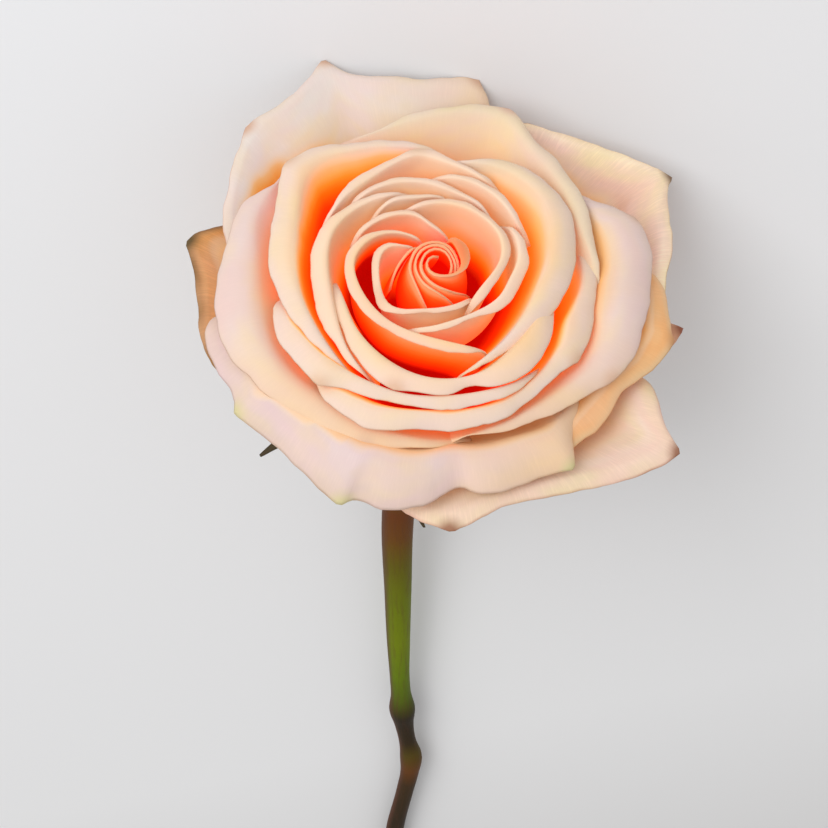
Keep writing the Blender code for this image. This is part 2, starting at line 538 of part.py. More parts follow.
def main():
    clear_scene()
    rose = new_collection("rose")
    bloom = make_bloom(rose)
    calyx = make_calyx(rose)
    stem = make_stem(rose)
    lay_down(bloom, calyx, stem)
    looks = ((bloom, "petal", PETAL_LOOK), (calyx, "sepal", SEPAL_LOOK), (stem, "stem", STEM_LOOK))
    for thing, name, (colour, roughness) in looks:
        thing.data.materials.append(material(name, colour, roughness))
        thing.data.shade_smooth()
        thing.data.set_sharp_from_angle(angle=SHARP)


main()
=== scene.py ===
"""The looks of the cut rose: fine petals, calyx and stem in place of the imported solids.

Lengths in the tables are millimetres, heights are above the seat of the petals, and angles are
degrees round the bloom's axis, as in the part's own source.
"""

import math

import bpy
import numpy as np
from mathutils import Matrix, Vector, noise
from mathutils.bvhtree import BVHTree


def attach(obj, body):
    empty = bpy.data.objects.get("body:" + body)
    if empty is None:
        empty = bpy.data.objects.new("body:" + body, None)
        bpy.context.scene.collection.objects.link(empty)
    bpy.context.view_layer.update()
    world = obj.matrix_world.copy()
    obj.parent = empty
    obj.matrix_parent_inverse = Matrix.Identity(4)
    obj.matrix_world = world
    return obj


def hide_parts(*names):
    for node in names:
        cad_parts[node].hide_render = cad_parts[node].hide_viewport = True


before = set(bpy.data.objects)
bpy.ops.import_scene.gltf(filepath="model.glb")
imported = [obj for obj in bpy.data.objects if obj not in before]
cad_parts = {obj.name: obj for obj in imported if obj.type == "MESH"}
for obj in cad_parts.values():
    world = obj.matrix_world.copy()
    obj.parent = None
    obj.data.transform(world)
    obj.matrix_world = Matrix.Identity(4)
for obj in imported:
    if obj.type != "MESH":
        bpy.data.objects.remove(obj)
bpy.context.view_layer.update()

MM = 0.001

# How the flower lies, as in the part's source
FACE_UP = math.radians(30)
FACE_ASIDE = math.radians(5.5)
FACE_TWIST = math.radians(2.9)
ROLL = math.radians(-5.6)
SEAT = (3.8, -83.2, 36.1)

# Camera: the photograph's
IMAGE_WIDTH = 828
FOCAL_PIXELS = 2238
SENSOR = 36.0
CAMERA_DISTANCE = 500.0
CAMERA_DOWN = math.radians(57)
NEAREST = 0.01
MOUTH_HEIGHT = 46.0  # the heart's mouth above the seat of the petals, and where the image shows it
MOUTH_PIXEL = (437, 270)

# Petals
BLADE = 0.35
ROOT_RADIUS = 4.5
ROOT_RISE = 1.0  # how much higher each petal's root sits than the one before it
ROOT_NARROW = 0.35  # a petal's angular width at its root and belly, as shares of its rim's
WAIST_NARROW = 0.75
BELLY_RISE = 0.12  # how far up the wall the belly is, as a share of the wall's height
LIP_DROP = 0.32  # how the lip rolls over: its three measures as shares of its width
LIP_RISE = 0.42
LIP_HOOK = 0.16
COLUMN_STEP = 1.3
FEWEST_COLUMNS = 12
WALL_ROWS = 18
WALL_CROWDING = 1.3  # above 1, the wall's rows lie closer together towards the crest
LIP_ROWS = 8
RIPPLES = ((11.0, 0.9), (4.0, 0.35), (1.7, 0.12))  # waves along a rim: length and size
RIPPLE_LIFT = 0.6  # a rim's waves up and down, as a share of its waves in and out
SOFTEN = 0.03  # how far along a petal its crest is evened out, as a share of its rim

# How closed in a place is: how many rays go out from each side of a petal, how far they are
# followed, how far off the surface they start, and how far round each is from the one before it
SHELTER_RAYS = 12
SHELTER_REACH = 22.0
SHELTER_CLEAR = 0.5
SHELTER_TURN = 2.4

# Each petal, from the outside in: how far in and how far down from the crest its wall is steered,
# the belly's radius as a share of the wall's foot, how much further in the wall goes where the rim
# stands out, and the points of its rim: angle, radius, height, how wide the lip is, and a 1 where
# the rim turns sharply
PETALS = {
    "guard_right": (20, 9, 0.62, 0.6, (
        (18, 42, 12, 1), (8, 49, 19, 2), (0.5, 56, 25, 2), (358.3, 59.2, 26.5, 2, 1),
        (354, 56.8, 25.5, 2), (347, 50, 20, 2), (335, 43, 12, 1))),
    "guard_left": (20, 9, 0.62, 0.6, (
        (143, 44, 17, 1), (151, 52, 21, 2), (156, 55.2, 23, 3), (160, 58.4, 24, 3),
        (162.8, 59.8, 24, 3, 1), (166, 57.4, 23.5, 3), (169, 55.4, 23, 3), (177, 53.3, 22, 2.5),
        (187, 52.3, 21, 2.5), (193, 51, 19, 2), (199, 47, 14, 1))),
    "guard_low": (20, 9, 0.62, 0.6, (
        (350, 43, 18, 1), (343, 52, 26, 2), (332, 61, 28, 3), (329, 66, 27, 4, 1), (318, 61, 27, 4),
        (303, 54, 27, 4), (284, 52, 27, 4), (275, 55, 26, 4, 1), (263, 50, 24, 3),
        (252, 43, 17, 1))),
    "guard_top": (20, 9, 0.62, 0.6, (
        (172, 43, 20, 1), (157, 52, 29, 2), (141, 59, 32, 3), (134, 63, 32, 3, 1),
        (123, 63.2, 33, 3), (117.5, 65.3, 33, 3), (113.8, 68, 33, 3.5), (111.6, 69.8, 33, 4, 1),
        (110, 66.8, 33, 3.5), (107.5, 63.8, 33.5, 3), (102, 61.2, 34.5, 3), (90, 59.6, 35, 3),
        (79, 61, 35, 3, 1), (75.5, 56, 33, 2.5), (73, 51, 31, 2), (70, 43, 20, 1))),
    "guard_corner": (20, 9, 0.62, 0.6, (
        (70, 44, 20, 1), (66, 56, 30, 2), (58, 57.2, 31, 3), (49, 60, 31, 3), (40, 65.3, 30, 4),
        (35.3, 69, 29, 4), (33.4, 70.3, 28.5, 4, 1), (32, 67.5, 29, 4), (28, 64.5, 29, 4),
        (16, 59.2, 30, 4), (10.4, 56.8, 29.5, 4), (4, 54.5, 27, 3), (358, 44, 17, 1))),
    "outer_right": (9, 8, 0.74, 0.6, (
        (22, 44, 27, 1), (9, 53, 32, 5), (357, 55.6, 31.5, 8), (352, 56.6, 31.5, 8, 1),
        (343.6, 52.4, 31, 7.5), (333.5, 48.8, 31, 7), (322, 48, 30, 5.5), (315, 47.4, 30, 5),
        (306, 46.4, 28.4, 4), (297, 44.4, 26.5, 2), (288, 41.5, 20, 1))),
    "guard_front": (6, 9, 0.82, 0.6, (
        (180, 42, 24, 2), (190, 52, 31, 8), (201, 51.6, 30, 10), (209, 51.1, 30, 11),
        (214.3, 53.2, 30, 12, 1), (221, 51.3, 30, 12), (230, 50.9, 30, 12), (238, 52.2, 30, 13),
        (244.5, 54, 30, 14), (248.5, 55.2, 30, 14, 1), (250.5, 52.9, 30, 14), (259, 52.8, 30, 13),
        (267, 50.9, 30, 12), (278.5, 46.9, 30.5, 10), (281, 48.4, 30.8, 10), (294, 49, 31, 10),
        (303, 50.2, 31, 10), (307.8, 51.8, 31, 10, 1), (314, 45.5, 31.5, 5), (325, 40.8, 31, 1.5),
        (331, 40.4, 26, 1))),
    "outer_lip_right": (9, 8, 0.74, 0.6, (
        (48, 44, 31, 1.5), (39, 43.6, 36.5, 3), (32.5, 46.6, 37.5, 5.5), (24, 51.4, 38, 8, 1),
        (17, 52, 37.5, 9), (10, 51.6, 37, 10), (2, 49.8, 37, 10), (354, 48.9, 37, 10),
        (345, 47.7, 36.5, 8), (332.5, 45.8, 36, 6.4, 1), (320.5, 41.5, 36, 4),
        (306, 39.2, 36.5, 2.6), (293, 38, 36.5, 1.5), (281, 37.2, 35.5, 0.8),
        (273, 36.8, 32, 0.6))),
    "outer_top": (9, 8, 0.74, 0.6, (
        (129, 44, 33, 1), (117, 42.6, 39.5, 1), (106.7, 43.6, 39.5, 1.5), (97, 45.6, 39.3, 2),
        (85.4, 49.2, 39, 3), (75, 51.8, 38.6, 3.6), (69, 52.8, 38.5, 4, 1), (65.5, 50.5, 38.8, 4),
        (59.5, 47, 39.3, 4), (50, 44.8, 40, 4), (38.4, 42.6, 40.3, 4), (28, 40.4, 40.7, 4),
        (19, 39, 40.5, 2.6), (10, 38.3, 40, 1.5), (2, 37.6, 37, 0.8), (354, 37, 33, 0.6))),
    "outer_lip_left": (9, 8, 0.74, 0.6, (
        (136, 46, 36, 1), (147, 45, 39, 1.5), (156, 48, 38, 4), (168, 48, 37, 7),
        (186, 49.4, 36, 10), (193, 49.8, 36, 10), (199, 49.4, 35.6, 9.6), (211, 46.8, 35, 7.4),
        (230, 43, 34.6, 6.2), (248, 42.2, 34.6, 5.4, 1), (259, 39.9, 34.8, 3),
        (270, 38.6, 34.6, 1.6), (279, 36.8, 33, 0.8), (285, 35.4, 29, 0.6))),
    "middle_low": (4, 11, 0.82, 0.5, (
        (30, 35.5, 34, 0.8), (18, 36, 38.5, 1.5), (5, 36.8, 39, 2.6), (352, 36.5, 39, 5),
        (340, 37, 39, 7), (330.5, 37.6, 39, 6.2, 1), (326.5, 36, 39.2, 4.4),
        (318.5, 34.5, 39.5, 2.4), (308, 34.9, 39, 2.6), (298, 36.2, 39, 3.6), (284, 36.5, 39, 4),
        (270, 36.5, 39, 4.2), (258, 37.6, 39, 4.6), (249, 39.2, 38.6, 5.4), (240, 39, 38.5, 5.2),
        (231.4, 38.2, 38.5, 4.2), (225.5, 36.6, 38, 2), (221, 35, 36.5, 0.8),
        (217, 34.4, 33, 0.6))),
    "middle_left": (5, 11, 0.82, 0.6, (
        (78, 33.5, 39, 0.8), (89, 33.5, 43, 1), (104, 36.5, 43.5, 2), (120, 40, 43, 3),
        (131, 44, 42, 5), (139, 45, 42, 6, 1), (148, 42, 42, 6), (160, 39, 42.5, 6),
        (174, 37.8, 43, 6.4), (190, 36, 43, 5), (204, 33.8, 43, 3.4), (216, 32.5, 43, 2),
        (228, 31.6, 42, 0.8), (236, 31.2, 39, 0.6))),
    "middle_front": (4, 11, 0.84, 0.5, (
        (186, 34.6, 36, 0.8), (192, 36.8, 40, 2.4), (203, 38, 41, 4.4), (215, 38, 41, 5.4),
        (227, 37.7, 41, 6, 1), (232, 35.4, 41, 4.2), (243, 33.9, 41.5, 3.2), (254, 32.4, 41.5, 2),
        (269, 32.5, 41.5, 2.6), (284, 32.4, 41.5, 2.6), (296, 33, 41.5, 2.6), (305, 32.4, 41, 1.6),
        (314, 31.6, 40, 0.8), (321, 31.2, 37, 0.6))),
    "middle_right": (3.5, 11, 0.84, 0.5, (
        (90, 31.5, 40, 0.8), (78, 31, 44.5, 1), (64, 34.5, 44, 2.5), (45, 37, 43, 5),
        (26, 35, 43, 6.5), (8, 32, 43, 7), (354, 29.3, 43, 6.6), (342, 27.4, 43, 5.4),
        (328, 26, 43, 4.4), (314, 24.5, 43, 2.6), (302, 24.2, 43, 1.6), (292, 24.4, 43, 0.9),
        (284, 25, 42, 0.4), (279, 25.2, 38, 0.3))),
    "inner_front": (3, 12, 0.9, 0.6, (
        (178, 22.6, 36, 0.8), (187, 23.2, 42, 1), (198, 24.4, 43.5, 2.6), (212, 25.3, 43.5, 2.6),
        (226, 27.1, 43, 3.6), (240, 29, 43, 4.4), (251, 30.3, 43, 4.7, 1), (262, 29.6, 43, 3.4),
        (275, 29.8, 43, 3.2), (287, 28.8, 43, 2.4), (293, 29.8, 43, 3.4), (304, 30.5, 43, 5),
        (315, 30.8, 43, 6), (327, 30, 43, 5.4), (338, 28.4, 42.4, 4), (346, 27.4, 41, 3),
        (354, 27, 37, 2))),
    "ring_top": (2.5, 13, 0.86, 0.5, (
        (160, 28.5, 40, 0.8), (147, 28.5, 45, 0.8), (122, 30, 45, 2), (98, 33, 45, 2, 1),
        (82, 30, 45, 1.5), (66, 28.5, 45, 1.5), (57, 29, 40, 0.8))),
    "ring_left": (2, 13, 0.86, 0.5, (
        (101, 22.5, 40, 0.8), (113, 22.3, 45, 1), (142, 26, 45, 2), (161, 28, 45, 3),
        (176, 28.1, 44.5, 3.6), (192, 28.2, 44, 4), (206, 28.6, 43.5, 3.6), (218, 28.9, 43, 2.2),
        (229, 29.5, 42.5, 1.2), (238, 29.6, 41.5, 0.6), (244, 29.6, 38, 0.5))),
    "ring_right": (2, 13, 0.86, 0.3, (
        (97, 26.5, 40, 0.8), (84, 26, 45, 1), (60, 26.5, 45, 2), (41, 24.5, 45, 1.5),
        (26, 24.5, 40, 0.8))),
    "ring_back": (1.5, 13, 0.84, 0.4, (
        (147, 25.5, 40, 0.6), (136, 26.2, 44.5, 0.8), (118, 26.4, 45, 1.5), (99, 25, 45, 1.5),
        (77, 22.5, 45, 1.5), (58, 21, 45, 1), (46, 20, 41, 0.8))),
    "ring_corner": (-1, 13, 0.86, 0.4, (
        (46, 22, 40, 0.8), (33, 22, 45, 1.5), (13, 21, 45, 2), (355, 18.8, 44, 2.6),
        (341, 18, 44, 2.6), (326, 16, 44, 2), (312, 14, 44, 1.2), (298, 13.5, 43.8, 1.2),
        (283, 13.6, 43.8, 1.2), (267, 14.4, 43.4, 1.2), (252, 14.8, 42.6, 0.8),
        (240, 14.8, 39, 0.5))),
    "ring_inside": (0.5, 12, 0.86, 0.3, (
        (136, 21, 41, 0.8), (124, 21, 46, 1), (102, 20, 46, 1), (88, 20.5, 45, 1),
        (78, 20, 41, 0.8))),
    "heart_right": (-1.5, 12, 0.9, 0.5, (
        (121, 18.4, 41, 0.6), (109, 17.6, 45.6, 1), (86, 18.6, 46, 1.2), (57, 19, 46, 1.6),
        (30, 18.8, 45.5, 2), (15, 17, 45, 2), (2, 14.8, 45, 2), (340, 12.2, 44.5, 1.8),
        (322, 11.2, 43.5, 1.2), (310, 11, 40, 0.5))),
    "heart_back": (-2.5, 12, 0.88, 0.3, (
        (158, 20.8, 41, 0.6), (151, 20.2, 45, 1), (139, 19.4, 45.5, 1.2), (124, 17.8, 46, 1.2),
        (108, 15.6, 46, 1.2), (97, 12.4, 46, 1), (85, 11.2, 45, 0.8), (72, 11, 41, 0.5))),
    "heart_left": (-5, 12, 1.25, 0.6, (
        (108, 9.6, 42, 0.5), (119, 10, 45.6, 0.8), (132, 13.2, 46, 1.1), (144, 16.2, 46, 1.4),
        (158, 18.8, 46, 1.8), (174, 20.8, 45, 2), (188, 20.2, 44.5, 2), (203, 19.2, 44, 1.9),
        (217, 18.9, 43.5, 2.2), (232, 18, 43, 1.9), (250, 17.6, 43, 1.9), (266, 17.9, 43, 1.9),
        (279, 19.1, 43, 2), (291, 20.4, 42.8, 1.6), (300, 21, 41.5, 0.8), (306, 21, 37, 0.5))),
    "heart_front": (-2.1, 12, 0.95, 0.5, (
        (122, 8.3, 42, 0.4), (131, 8.8, 44.6, 0.5), (140, 10.2, 45.2, 0.8), (149, 13, 45.4, 1),
        (158, 14.3, 45, 1.3), (178, 14.5, 44.6, 1.5), (194, 14.5, 44.2, 1.4),
        (206, 14.8, 43.7, 1.4, 1), (217, 15, 43.2, 1.5), (225, 14.2, 43.7, 1.3), (232, 13, 43.6, 1),
        (242, 11.4, 43.8, 1), (256, 10.3, 43.8, 1), (275, 9.7, 43.8, 1), (292, 9.6, 43.8, 1),
        (308, 9.7, 43.6, 0.9), (320, 9.7, 43, 0.8), (330, 9.6, 41.6, 0.6), (337, 9.5, 37, 0.5))),
    "bud_fold": (-2.5, 8, 1.1, 0, (
        (116, 7.9, 42, 0.3), (130, 8, 45, 0.3), (146, 8.2, 44.6, 0.3), (162, 8.8, 43.4, 0.3),
        (178, 9.6, 41.8, 0.3), (190, 10.4, 39.4, 0.3))),
    "bud_outer": (-3, 7, 1.15, 0, (
        (352, 4.6, 43.5, 0.3), (8, 5, 45, 0.3), (40, 5.8, 45.8, 0.4), (75, 7.2, 46, 0.4),
        (100, 7.4, 46, 0.4), (125, 7.2, 45.8, 0.4), (150, 6.5, 45.4, 0.3), (178, 6.1, 45.2, 0.3),
        (209, 5.9, 45.1, 0.3), (229, 6.3, 44.2, 0.3), (243, 7, 43, 0.3), (254, 7.8, 41.6, 0.3),
        (266, 8.8, 38.6, 0.3))),
    "bud_middle": (-3, 7, 1.15, 0, (
        (352, 4, 44, 0.3), (10, 4.4, 45.4, 0.3), (45, 5, 46, 0.3), (75, 6.3, 46.2, 0.4),
        (100, 6.5, 46.2, 0.4), (125, 6.2, 46, 0.4), (150, 5.5, 45.8, 0.3), (178, 5, 45.9, 0.3),
        (205, 4.7, 46, 0.3), (232, 4.8, 45.9, 0.3), (262, 5.1, 45.4, 0.3), (282, 5.8, 44.4, 0.3),
        (298, 6.9, 42.5, 0.3), (308, 8, 39.6, 0.3))),
    "bud_inner": (-3, 7, 1.15, 0, (
        (340, 3, 44.6, 0.3), (10, 3.5, 46, 0.3), (45, 4.2, 46.4, 0.3), (70, 5.2, 46.5, 0.4),
        (95, 5.5, 46.5, 0.4), (120, 5, 46.3, 0.4), (150, 4.1, 46.3, 0.3), (190, 3.6, 46.5, 0.3),
        (230, 3.7, 46.6, 0.3), (262, 4.2, 46.2, 0.3), (292, 5, 45.2, 0.3), (318, 6.2, 43, 0.3),
        (336, 7.5, 40.6, 0.3), (346, 8.4, 37.6, 0.3))),
    "bud_mouth": (-2.4, 7, 1.2, 0, (
        (84, 3.6, 45.8, 0.3), (110, 3.6, 46.2, 0.3), (134, 3.2, 46.5, 0.3), (160, 2.7, 46.8, 0.3),
        (200, 2.3, 47, 0.4), (245, 2.1, 47, 0.4), (285, 2.3, 47, 0.4), (315, 2.9, 46.8, 0.4),
        (335, 3.9, 46.5, 0.5), (352, 5, 46.2, 0.6), (8, 6.6, 46, 1.2), (22, 7.9, 46, 2),
        (34, 8.9, 45.8, 2.8), (45, 9.6, 45.6, 3), (57, 10, 45.6, 2.7), (66, 9.9, 45.4, 1.6),
        (75, 9.6, 42, 0.6))),
}

# Core that the petals stand in and hip below it: radius and height, from the top down, and the
# core's colours by height
CORE_PROFILE = (
    (2.0, 35.0), (4.0, 31.0), (6.0, 24.5), (8.5, 18.0),
    (10.5, 11.0), (11.0, 5.0), (10.0, 0.0), (8.5, -2.0),
)
CORE_TONES = (
    (0.0, (214, 202, 150)), (0.1, (232, 206, 160)), (0.3, (242, 190, 130)), (0.6, (246, 120, 40)),
    (0.9, (235, 80, 15)),
)
HIP_PROFILE = ((8.6, -2.3), (7.6, -4.0), (6.6, -7.0), (6.4, -10.0), (5.6, -13.5), (4.4, -17.0))
TURN_SIDES = 48
TURN_SPAN = 40.0  # the height at which a turned piece's colours reach 1
TURN_PATCHES = (0.4, 3)  # how strongly, and how often round it, a turned piece's side tint comes
TURN_END = 0.01  # the radius that a turned piece's ends close in to

# Sepals: angle, reach and how far each turns aside, and the shape that they share
SEPALS = ((205, 42.6, 3), (259, 37.5, 14), (341, 36, 4), (57, 31, 5), (131, 32, 4))
SEPAL_ROOT = (4.0, -4.2)
SEPAL_ARCH = 3.0
SEPAL_ARCH_SPEED = 1.2
SEPAL_DROOP = 7.0
SEPAL_WIDTH = 7.5
SEPAL_TAPER = 0.75
SEPAL_SWELL = (0.75, 0.5)
SEPAL_TIP = 0.5
SEPAL_SAG = 0.12
SEPAL_THICK = 0.7
SEPAL_ROWS = 40
SEPAL_COLUMNS = 10
SEPAL_ROUND = 0.5  # how far round its skin a sepal's edges count

# Stem: where its middle runs from the seat of the petals (sideways, along, up) and its radius
STEM_ROUTE = (
    (1.4, 14.9, -8.7, 4.4),
    (2.8, 29.0, -15.2, 4.4),
    (4.4, 45.0, -19.8, 4.4),
    (5.6, 61.0, -22.5, 4.3),
    (5.7, 88.0, -25.6, 3.7),
    (5.6, 108.0, -27.4, 3.2),
    (5.3, 121.0, -28.4, 2.8),
    (5.0, 127.0, -28.9, 2.9),
    (4.7, 132.5, -29.2, 3.7),
    (4.2, 138.0, -29.6, 2.8),
    (3.2, 145.5, -30.1, 2.45),
    (2.2, 152.0, -30.6, 3.2),
    (2.6, 158.0, -31.0, 2.7),
    (4.0, 166.0, -31.6, 2.5),
    (7.0, 182.0, -32.7, 2.6),
    (8.2, 205.0, -33.9, 2.6),
    (5.5, 232.0, -34.2, 2.6),
)
STEM_RINGS = 240
STEM_SIDES = 32
CUT_BACK = 4.0  # how much of the route's end is left off, for the cut


def place(angle, radius, height):
    """A point from its angle, radius and height round the bloom's axis."""
    return np.stack([np.cos(angle) * radius, np.sin(angle) * radius, height + 0 * angle], axis=-1)


def smooth_through(places, values, corners, at):
    """A cubic curve through the values, with a sharp turn at each corner."""
    step = np.diff(places)[:, None]
    slope = np.diff(values, axis=0) / step
    middle = (slope[:-1] * step[1:] + slope[1:] * step[:-1]) / (step[:-1] + step[1:])
    leave = np.vstack([slope[:1], middle, slope[-1:]])
    arrive = leave.copy()
    for k in corners:
        leave[k] = slope[k]
        arrive[k] = slope[k - 1]
    span = np.clip(np.searchsorted(places, at, side="right") - 1, 0, len(places) - 2)
    width = step[span]
    u = ((at - places[span])[:, None]) / width
    near = values[span] * (2 * u**3 - 3 * u**2 + 1) + leave[span] * width * (u**3 - 2 * u**2 + u)
    far = values[span + 1] * (3 * u**2 - 2 * u**3) + arrive[span + 1] * width * (u**3 - u**2)
    return near + far


def evened(values, places, reach):
    """Values along a line, each averaged with its neighbours within the reach."""
    weight = np.exp(-0.5 * ((places[:, None] - places[None, :]) / reach) ** 2)
    return (weight @ values) / weight.sum(axis=1)[:, None]


def ripple(at, seed):
    """A gentle irregular wave along a rim, in millimetres."""
    waves = []
    for place_at in at:
        points = ((Vector((place_at / length, seed, length)), size) for length, size in RIPPLES)
        waves.append(sum(size * noise.noise(point) for point, size in points))
    return np.array(waves)


def rim_columns(rim, seed):
    """The rim's places, rows of angle, radius, height and lip there, those evened out for the
    crest, and the columns at its sharp corners."""
    values = np.array([point[:4] for point in rim], dtype=float)
    values[:, 0] = np.unwrap(np.radians(values[:, 0]))
    if values[-1, 0] > values[0, 0]:
        return rim_columns(rim[::-1], seed)  # all run one way, so that the inner face is the front
    corners = [k for k, point in enumerate(rim) if len(point) > 4]
    flat = place(values[:, 0], values[:, 1], values[:, 2])
    places = np.concatenate([[0], np.cumsum(np.linalg.norm(np.diff(flat, axis=0), axis=1))])
    at = np.linspace(0, places[-1], max(FEWEST_COLUMNS, round(places[-1] / COLUMN_STEP)))
    edge = smooth_through(places, values, corners, at)
    soft = evened(edge, at, SOFTEN * places[-1])
    blend = np.minimum(1, np.minimum(at, at[-1] - at) / (2 * SOFTEN * places[-1]))[:, None]
    crest = edge * (1 - blend) + soft * blend
    wave = ripple(at, seed) * np.minimum(1, edge[:, 3])
    edge[:, 1] += wave
    edge[:, 2] += wave[::-1] * RIPPLE_LIFT
    return at, edge, crest, [int(np.argmin(np.abs(at - places[k]))) for k in corners]


def bezier(points, t):
    """Rows of points at each t on cubics with four control points."""
    t = t[None, :, None]
    one, two, three, four = (point[:, None, :] for point in points)
    back = 1 - t
    return one * back**3 + two * 3 * t * back**2 + three * 3 * t * t * back + four * t**3


def petal_grid(order, spec):
    """The petal's rim places and corners, and its surface as columns of points from root to lip."""
    run, drop, waist, flare, rim = spec
    at, edge, soft, corners = rim_columns(rim, order)
    seat = order * ROOT_RISE
    middle = (edge[:, 0].min() + edge[:, 0].max()) / 2
    angle, radius, height, lip = soft.T
    root = middle + (angle - middle) * ROOT_NARROW
    low = middle + (angle - middle) * WAIST_NARROW
    crest_radius = radius - lip
    crest_height = height + lip * LIP_DROP
    foot = crest_radius - run - flare * (crest_radius - crest_radius.min())
    start = place(root, ROOT_RADIUS, seat + 0 * root)
    belly = place(low, foot * waist, seat + (crest_height - seat) * BELLY_RISE)
    handle = place(angle, foot, crest_height - drop)
    crest = place(angle, crest_radius, crest_height)
    brink = place(edge[:, 0], edge[:, 1], edge[:, 2])
    rise = crest - handle
    rise *= (lip * LIP_RISE / np.linalg.norm(rise, axis=1))[:, None]
    over = brink + np.stack([0 * lip, 0 * lip, edge[:, 3] * LIP_HOOK], axis=-1)
    wall_t = 1 - (1 - np.linspace(0, 1, WALL_ROWS, endpoint=False)) ** WALL_CROWDING
    lip_t = np.linspace(0, 1, LIP_ROWS + 1)
    wall = bezier((start, belly, handle, crest), wall_t)
    lip_points = bezier((crest, crest + rise, over, brink), lip_t)
    return at, corners, np.concatenate([wall, lip_points], axis=1)


def quads(columns, rows):
    """The faces of a grid, each as four point numbers."""
    index = np.arange(columns * rows).reshape(columns, rows)
    faces = np.stack([index[:-1, :-1], index[1:, :-1], index[1:, 1:], index[:-1, 1:]], axis=-1)
    return faces.reshape(-1, 4)


def sheltered(grids):
    """How far each point's front and back are closed in by petals, from 0 in the open to 1."""
    corners, faces = [], []
    for grid in grids:
        faces.extend((quads(*grid.shape[:2]) + len(corners)).tolist())
        corners.extend(grid.reshape(-1, 3).tolist())
    tree = BVHTree.FromPolygons(corners, faces)
    order = np.arange(SHELTER_RAYS)
    spread = np.sqrt((order + 0.5) / SHELTER_RAYS)
    turned = SHELTER_TURN * order
    fan = np.stack([spread * np.cos(turned), spread * np.sin(turned), np.sqrt(1 - spread**2)])
    result = []
    for grid in grids:
        along, up = np.gradient(grid, axis=0), np.gradient(grid, axis=1)
        along /= np.linalg.norm(along, axis=2)[..., None] + 1e-9
        front = np.cross(along, up)
        front /= np.linalg.norm(front, axis=2)[..., None] + 1e-9
        side = np.cross(front, along)
        both = []
        for sign in (1, -1):
            axes = np.stack([along, side, front * sign], axis=-1).reshape(-1, 3, 3)
            rays = np.einsum("nij,jk->nki", axes, fan)
            starts = (grid + front * sign * SHELTER_CLEAR).reshape(-1, 3)
            closed = np.zeros(len(starts))
            for k, (start, bundle) in enumerate(zip(starts.tolist(), rays.tolist())):
                for ray in bundle:
                    distance = tree.ray_cast(start, ray, SHELTER_REACH)[3]
                    if distance is not None:
                        closed[k] += 1 - distance / SHELTER_REACH
            closed = closed.reshape(grid.shape[:2]) / SHELTER_RAYS
            padded = np.pad(closed, 1, mode="edge")
            columns, rows = closed.shape
            around = [padded[i : i + columns, j : j + rows] for i in range(3) for j in range(3)]
            both.append(sum(around) / len(around))
        result.append(both)
    return result


def grid_mesh(name, grid, values):
    """A mesh of quads over a grid of points in millimetres, with named values at its points."""
    mesh = bpy.data.meshes.new(name)
    faces = quads(*grid.shape[:2])
    mesh.from_pydata((grid.reshape(-1, 3) * MM).tolist(), [], faces.tolist())
    for key, value in values.items():
        layer = mesh.attributes.new(key, "FLOAT", "POINT")
        layer.data.foreach_set("value", np.ascontiguousarray(value, dtype=np.float32).ravel())
    mesh.shade_smooth()
    return mesh


def add_piece(name, mesh, node, materials):
    """A piece that shows in place of a node of the solids."""
    piece = bpy.data.objects.new(name, mesh)
    bpy.context.scene.collection.objects.link(piece)
    for look in materials:
        mesh.materials.append(look)
    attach(piece, "root")
    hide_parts(node)
    return piece


def thicken(piece, thickness, back=0):
    """Gives a sheet its thickness, and its back the look that many places on in its list."""
    solidify = piece.modifiers.new("Blade", "SOLIDIFY")
    solidify.thickness = thickness * MM
    solidify.offset = 0
    solidify.material_offset = back
    return piece


def upright_to_row():
    """Turns the upright bloom onto its side."""
    return (
        Matrix.Rotation(-FACE_ASIDE, 4, "Z")
        @ Matrix.Rotation(math.pi / 2 - FACE_UP, 4, "X")
        @ Matrix.Rotation(math.pi + FACE_TWIST, 4, "Z")
    )


def settle():
    """Sets the rose on the table."""
    return Matrix.Translation(Vector(SEAT) * MM) @ Matrix.Rotation(ROLL, 4, "Y")


def node_kit(name):
    """A new material, its tree and its Principled shader."""
    look = bpy.data.materials.new(name)
    look.use_nodes = True
    tree = look.node_tree
    return look, tree, tree.nodes["Principled BSDF"]


def ramp(tree, source, stops):
    """A colour ramp on a value."""
    node = tree.nodes.new("ShaderNodeValToRGB")
    band = node.color_ramp
    while len(band.elements) < len(stops):
        band.elements.new(0.5)
    for element, (position, colour) in zip(band.elements, stops):
        element.position = position
        element.color = (*colour, 1)
    tree.links.new(source, node.inputs["Fac"])
    return node.outputs["Color"]


def linear(colour):
    """A colour given in screen values from 0 to 255, as the shader takes it."""
    parts = (channel / 255 for channel in colour)
    return tuple(p / 12.92 if p < 0.04045 else ((p + 0.055) / 1.055) ** 2.4 for p in parts)


def attribute(tree, name):
    """A value that the mesh holds at its points."""
    node = tree.nodes.new("ShaderNodeAttribute")
    node.attribute_name = name
    return node.outputs["Fac"]


def faded(tree, source, stops):
    """A ramp of plain amounts on a value."""
    return ramp(tree, source, [(at, (amount,) * 3) for at, amount in stops])


def tinted(tree, source, stops):
    """A ramp of screen colours on a value."""
    return ramp(tree, source, [(at, linear(tone)) for at, tone in stops])


def mixed(tree, factor, first, second, blend="MIX"):
    """Two colours mixed by a value or a plain number."""
    node = tree.nodes.new("ShaderNodeMix")
    node.data_type = "RGBA"
    node.blend_type = blend
    sockets = (node.inputs[0], node.inputs[6], node.inputs[7])
    for socket, source in zip(sockets, (factor, first, second)):
        if isinstance(source, (int, float)):
            socket.default_value = source
        elif isinstance(source, tuple):
            socket.default_value = (*source, 1)
        else:
            tree.links.new(source, socket)
    return node.outputs[2]


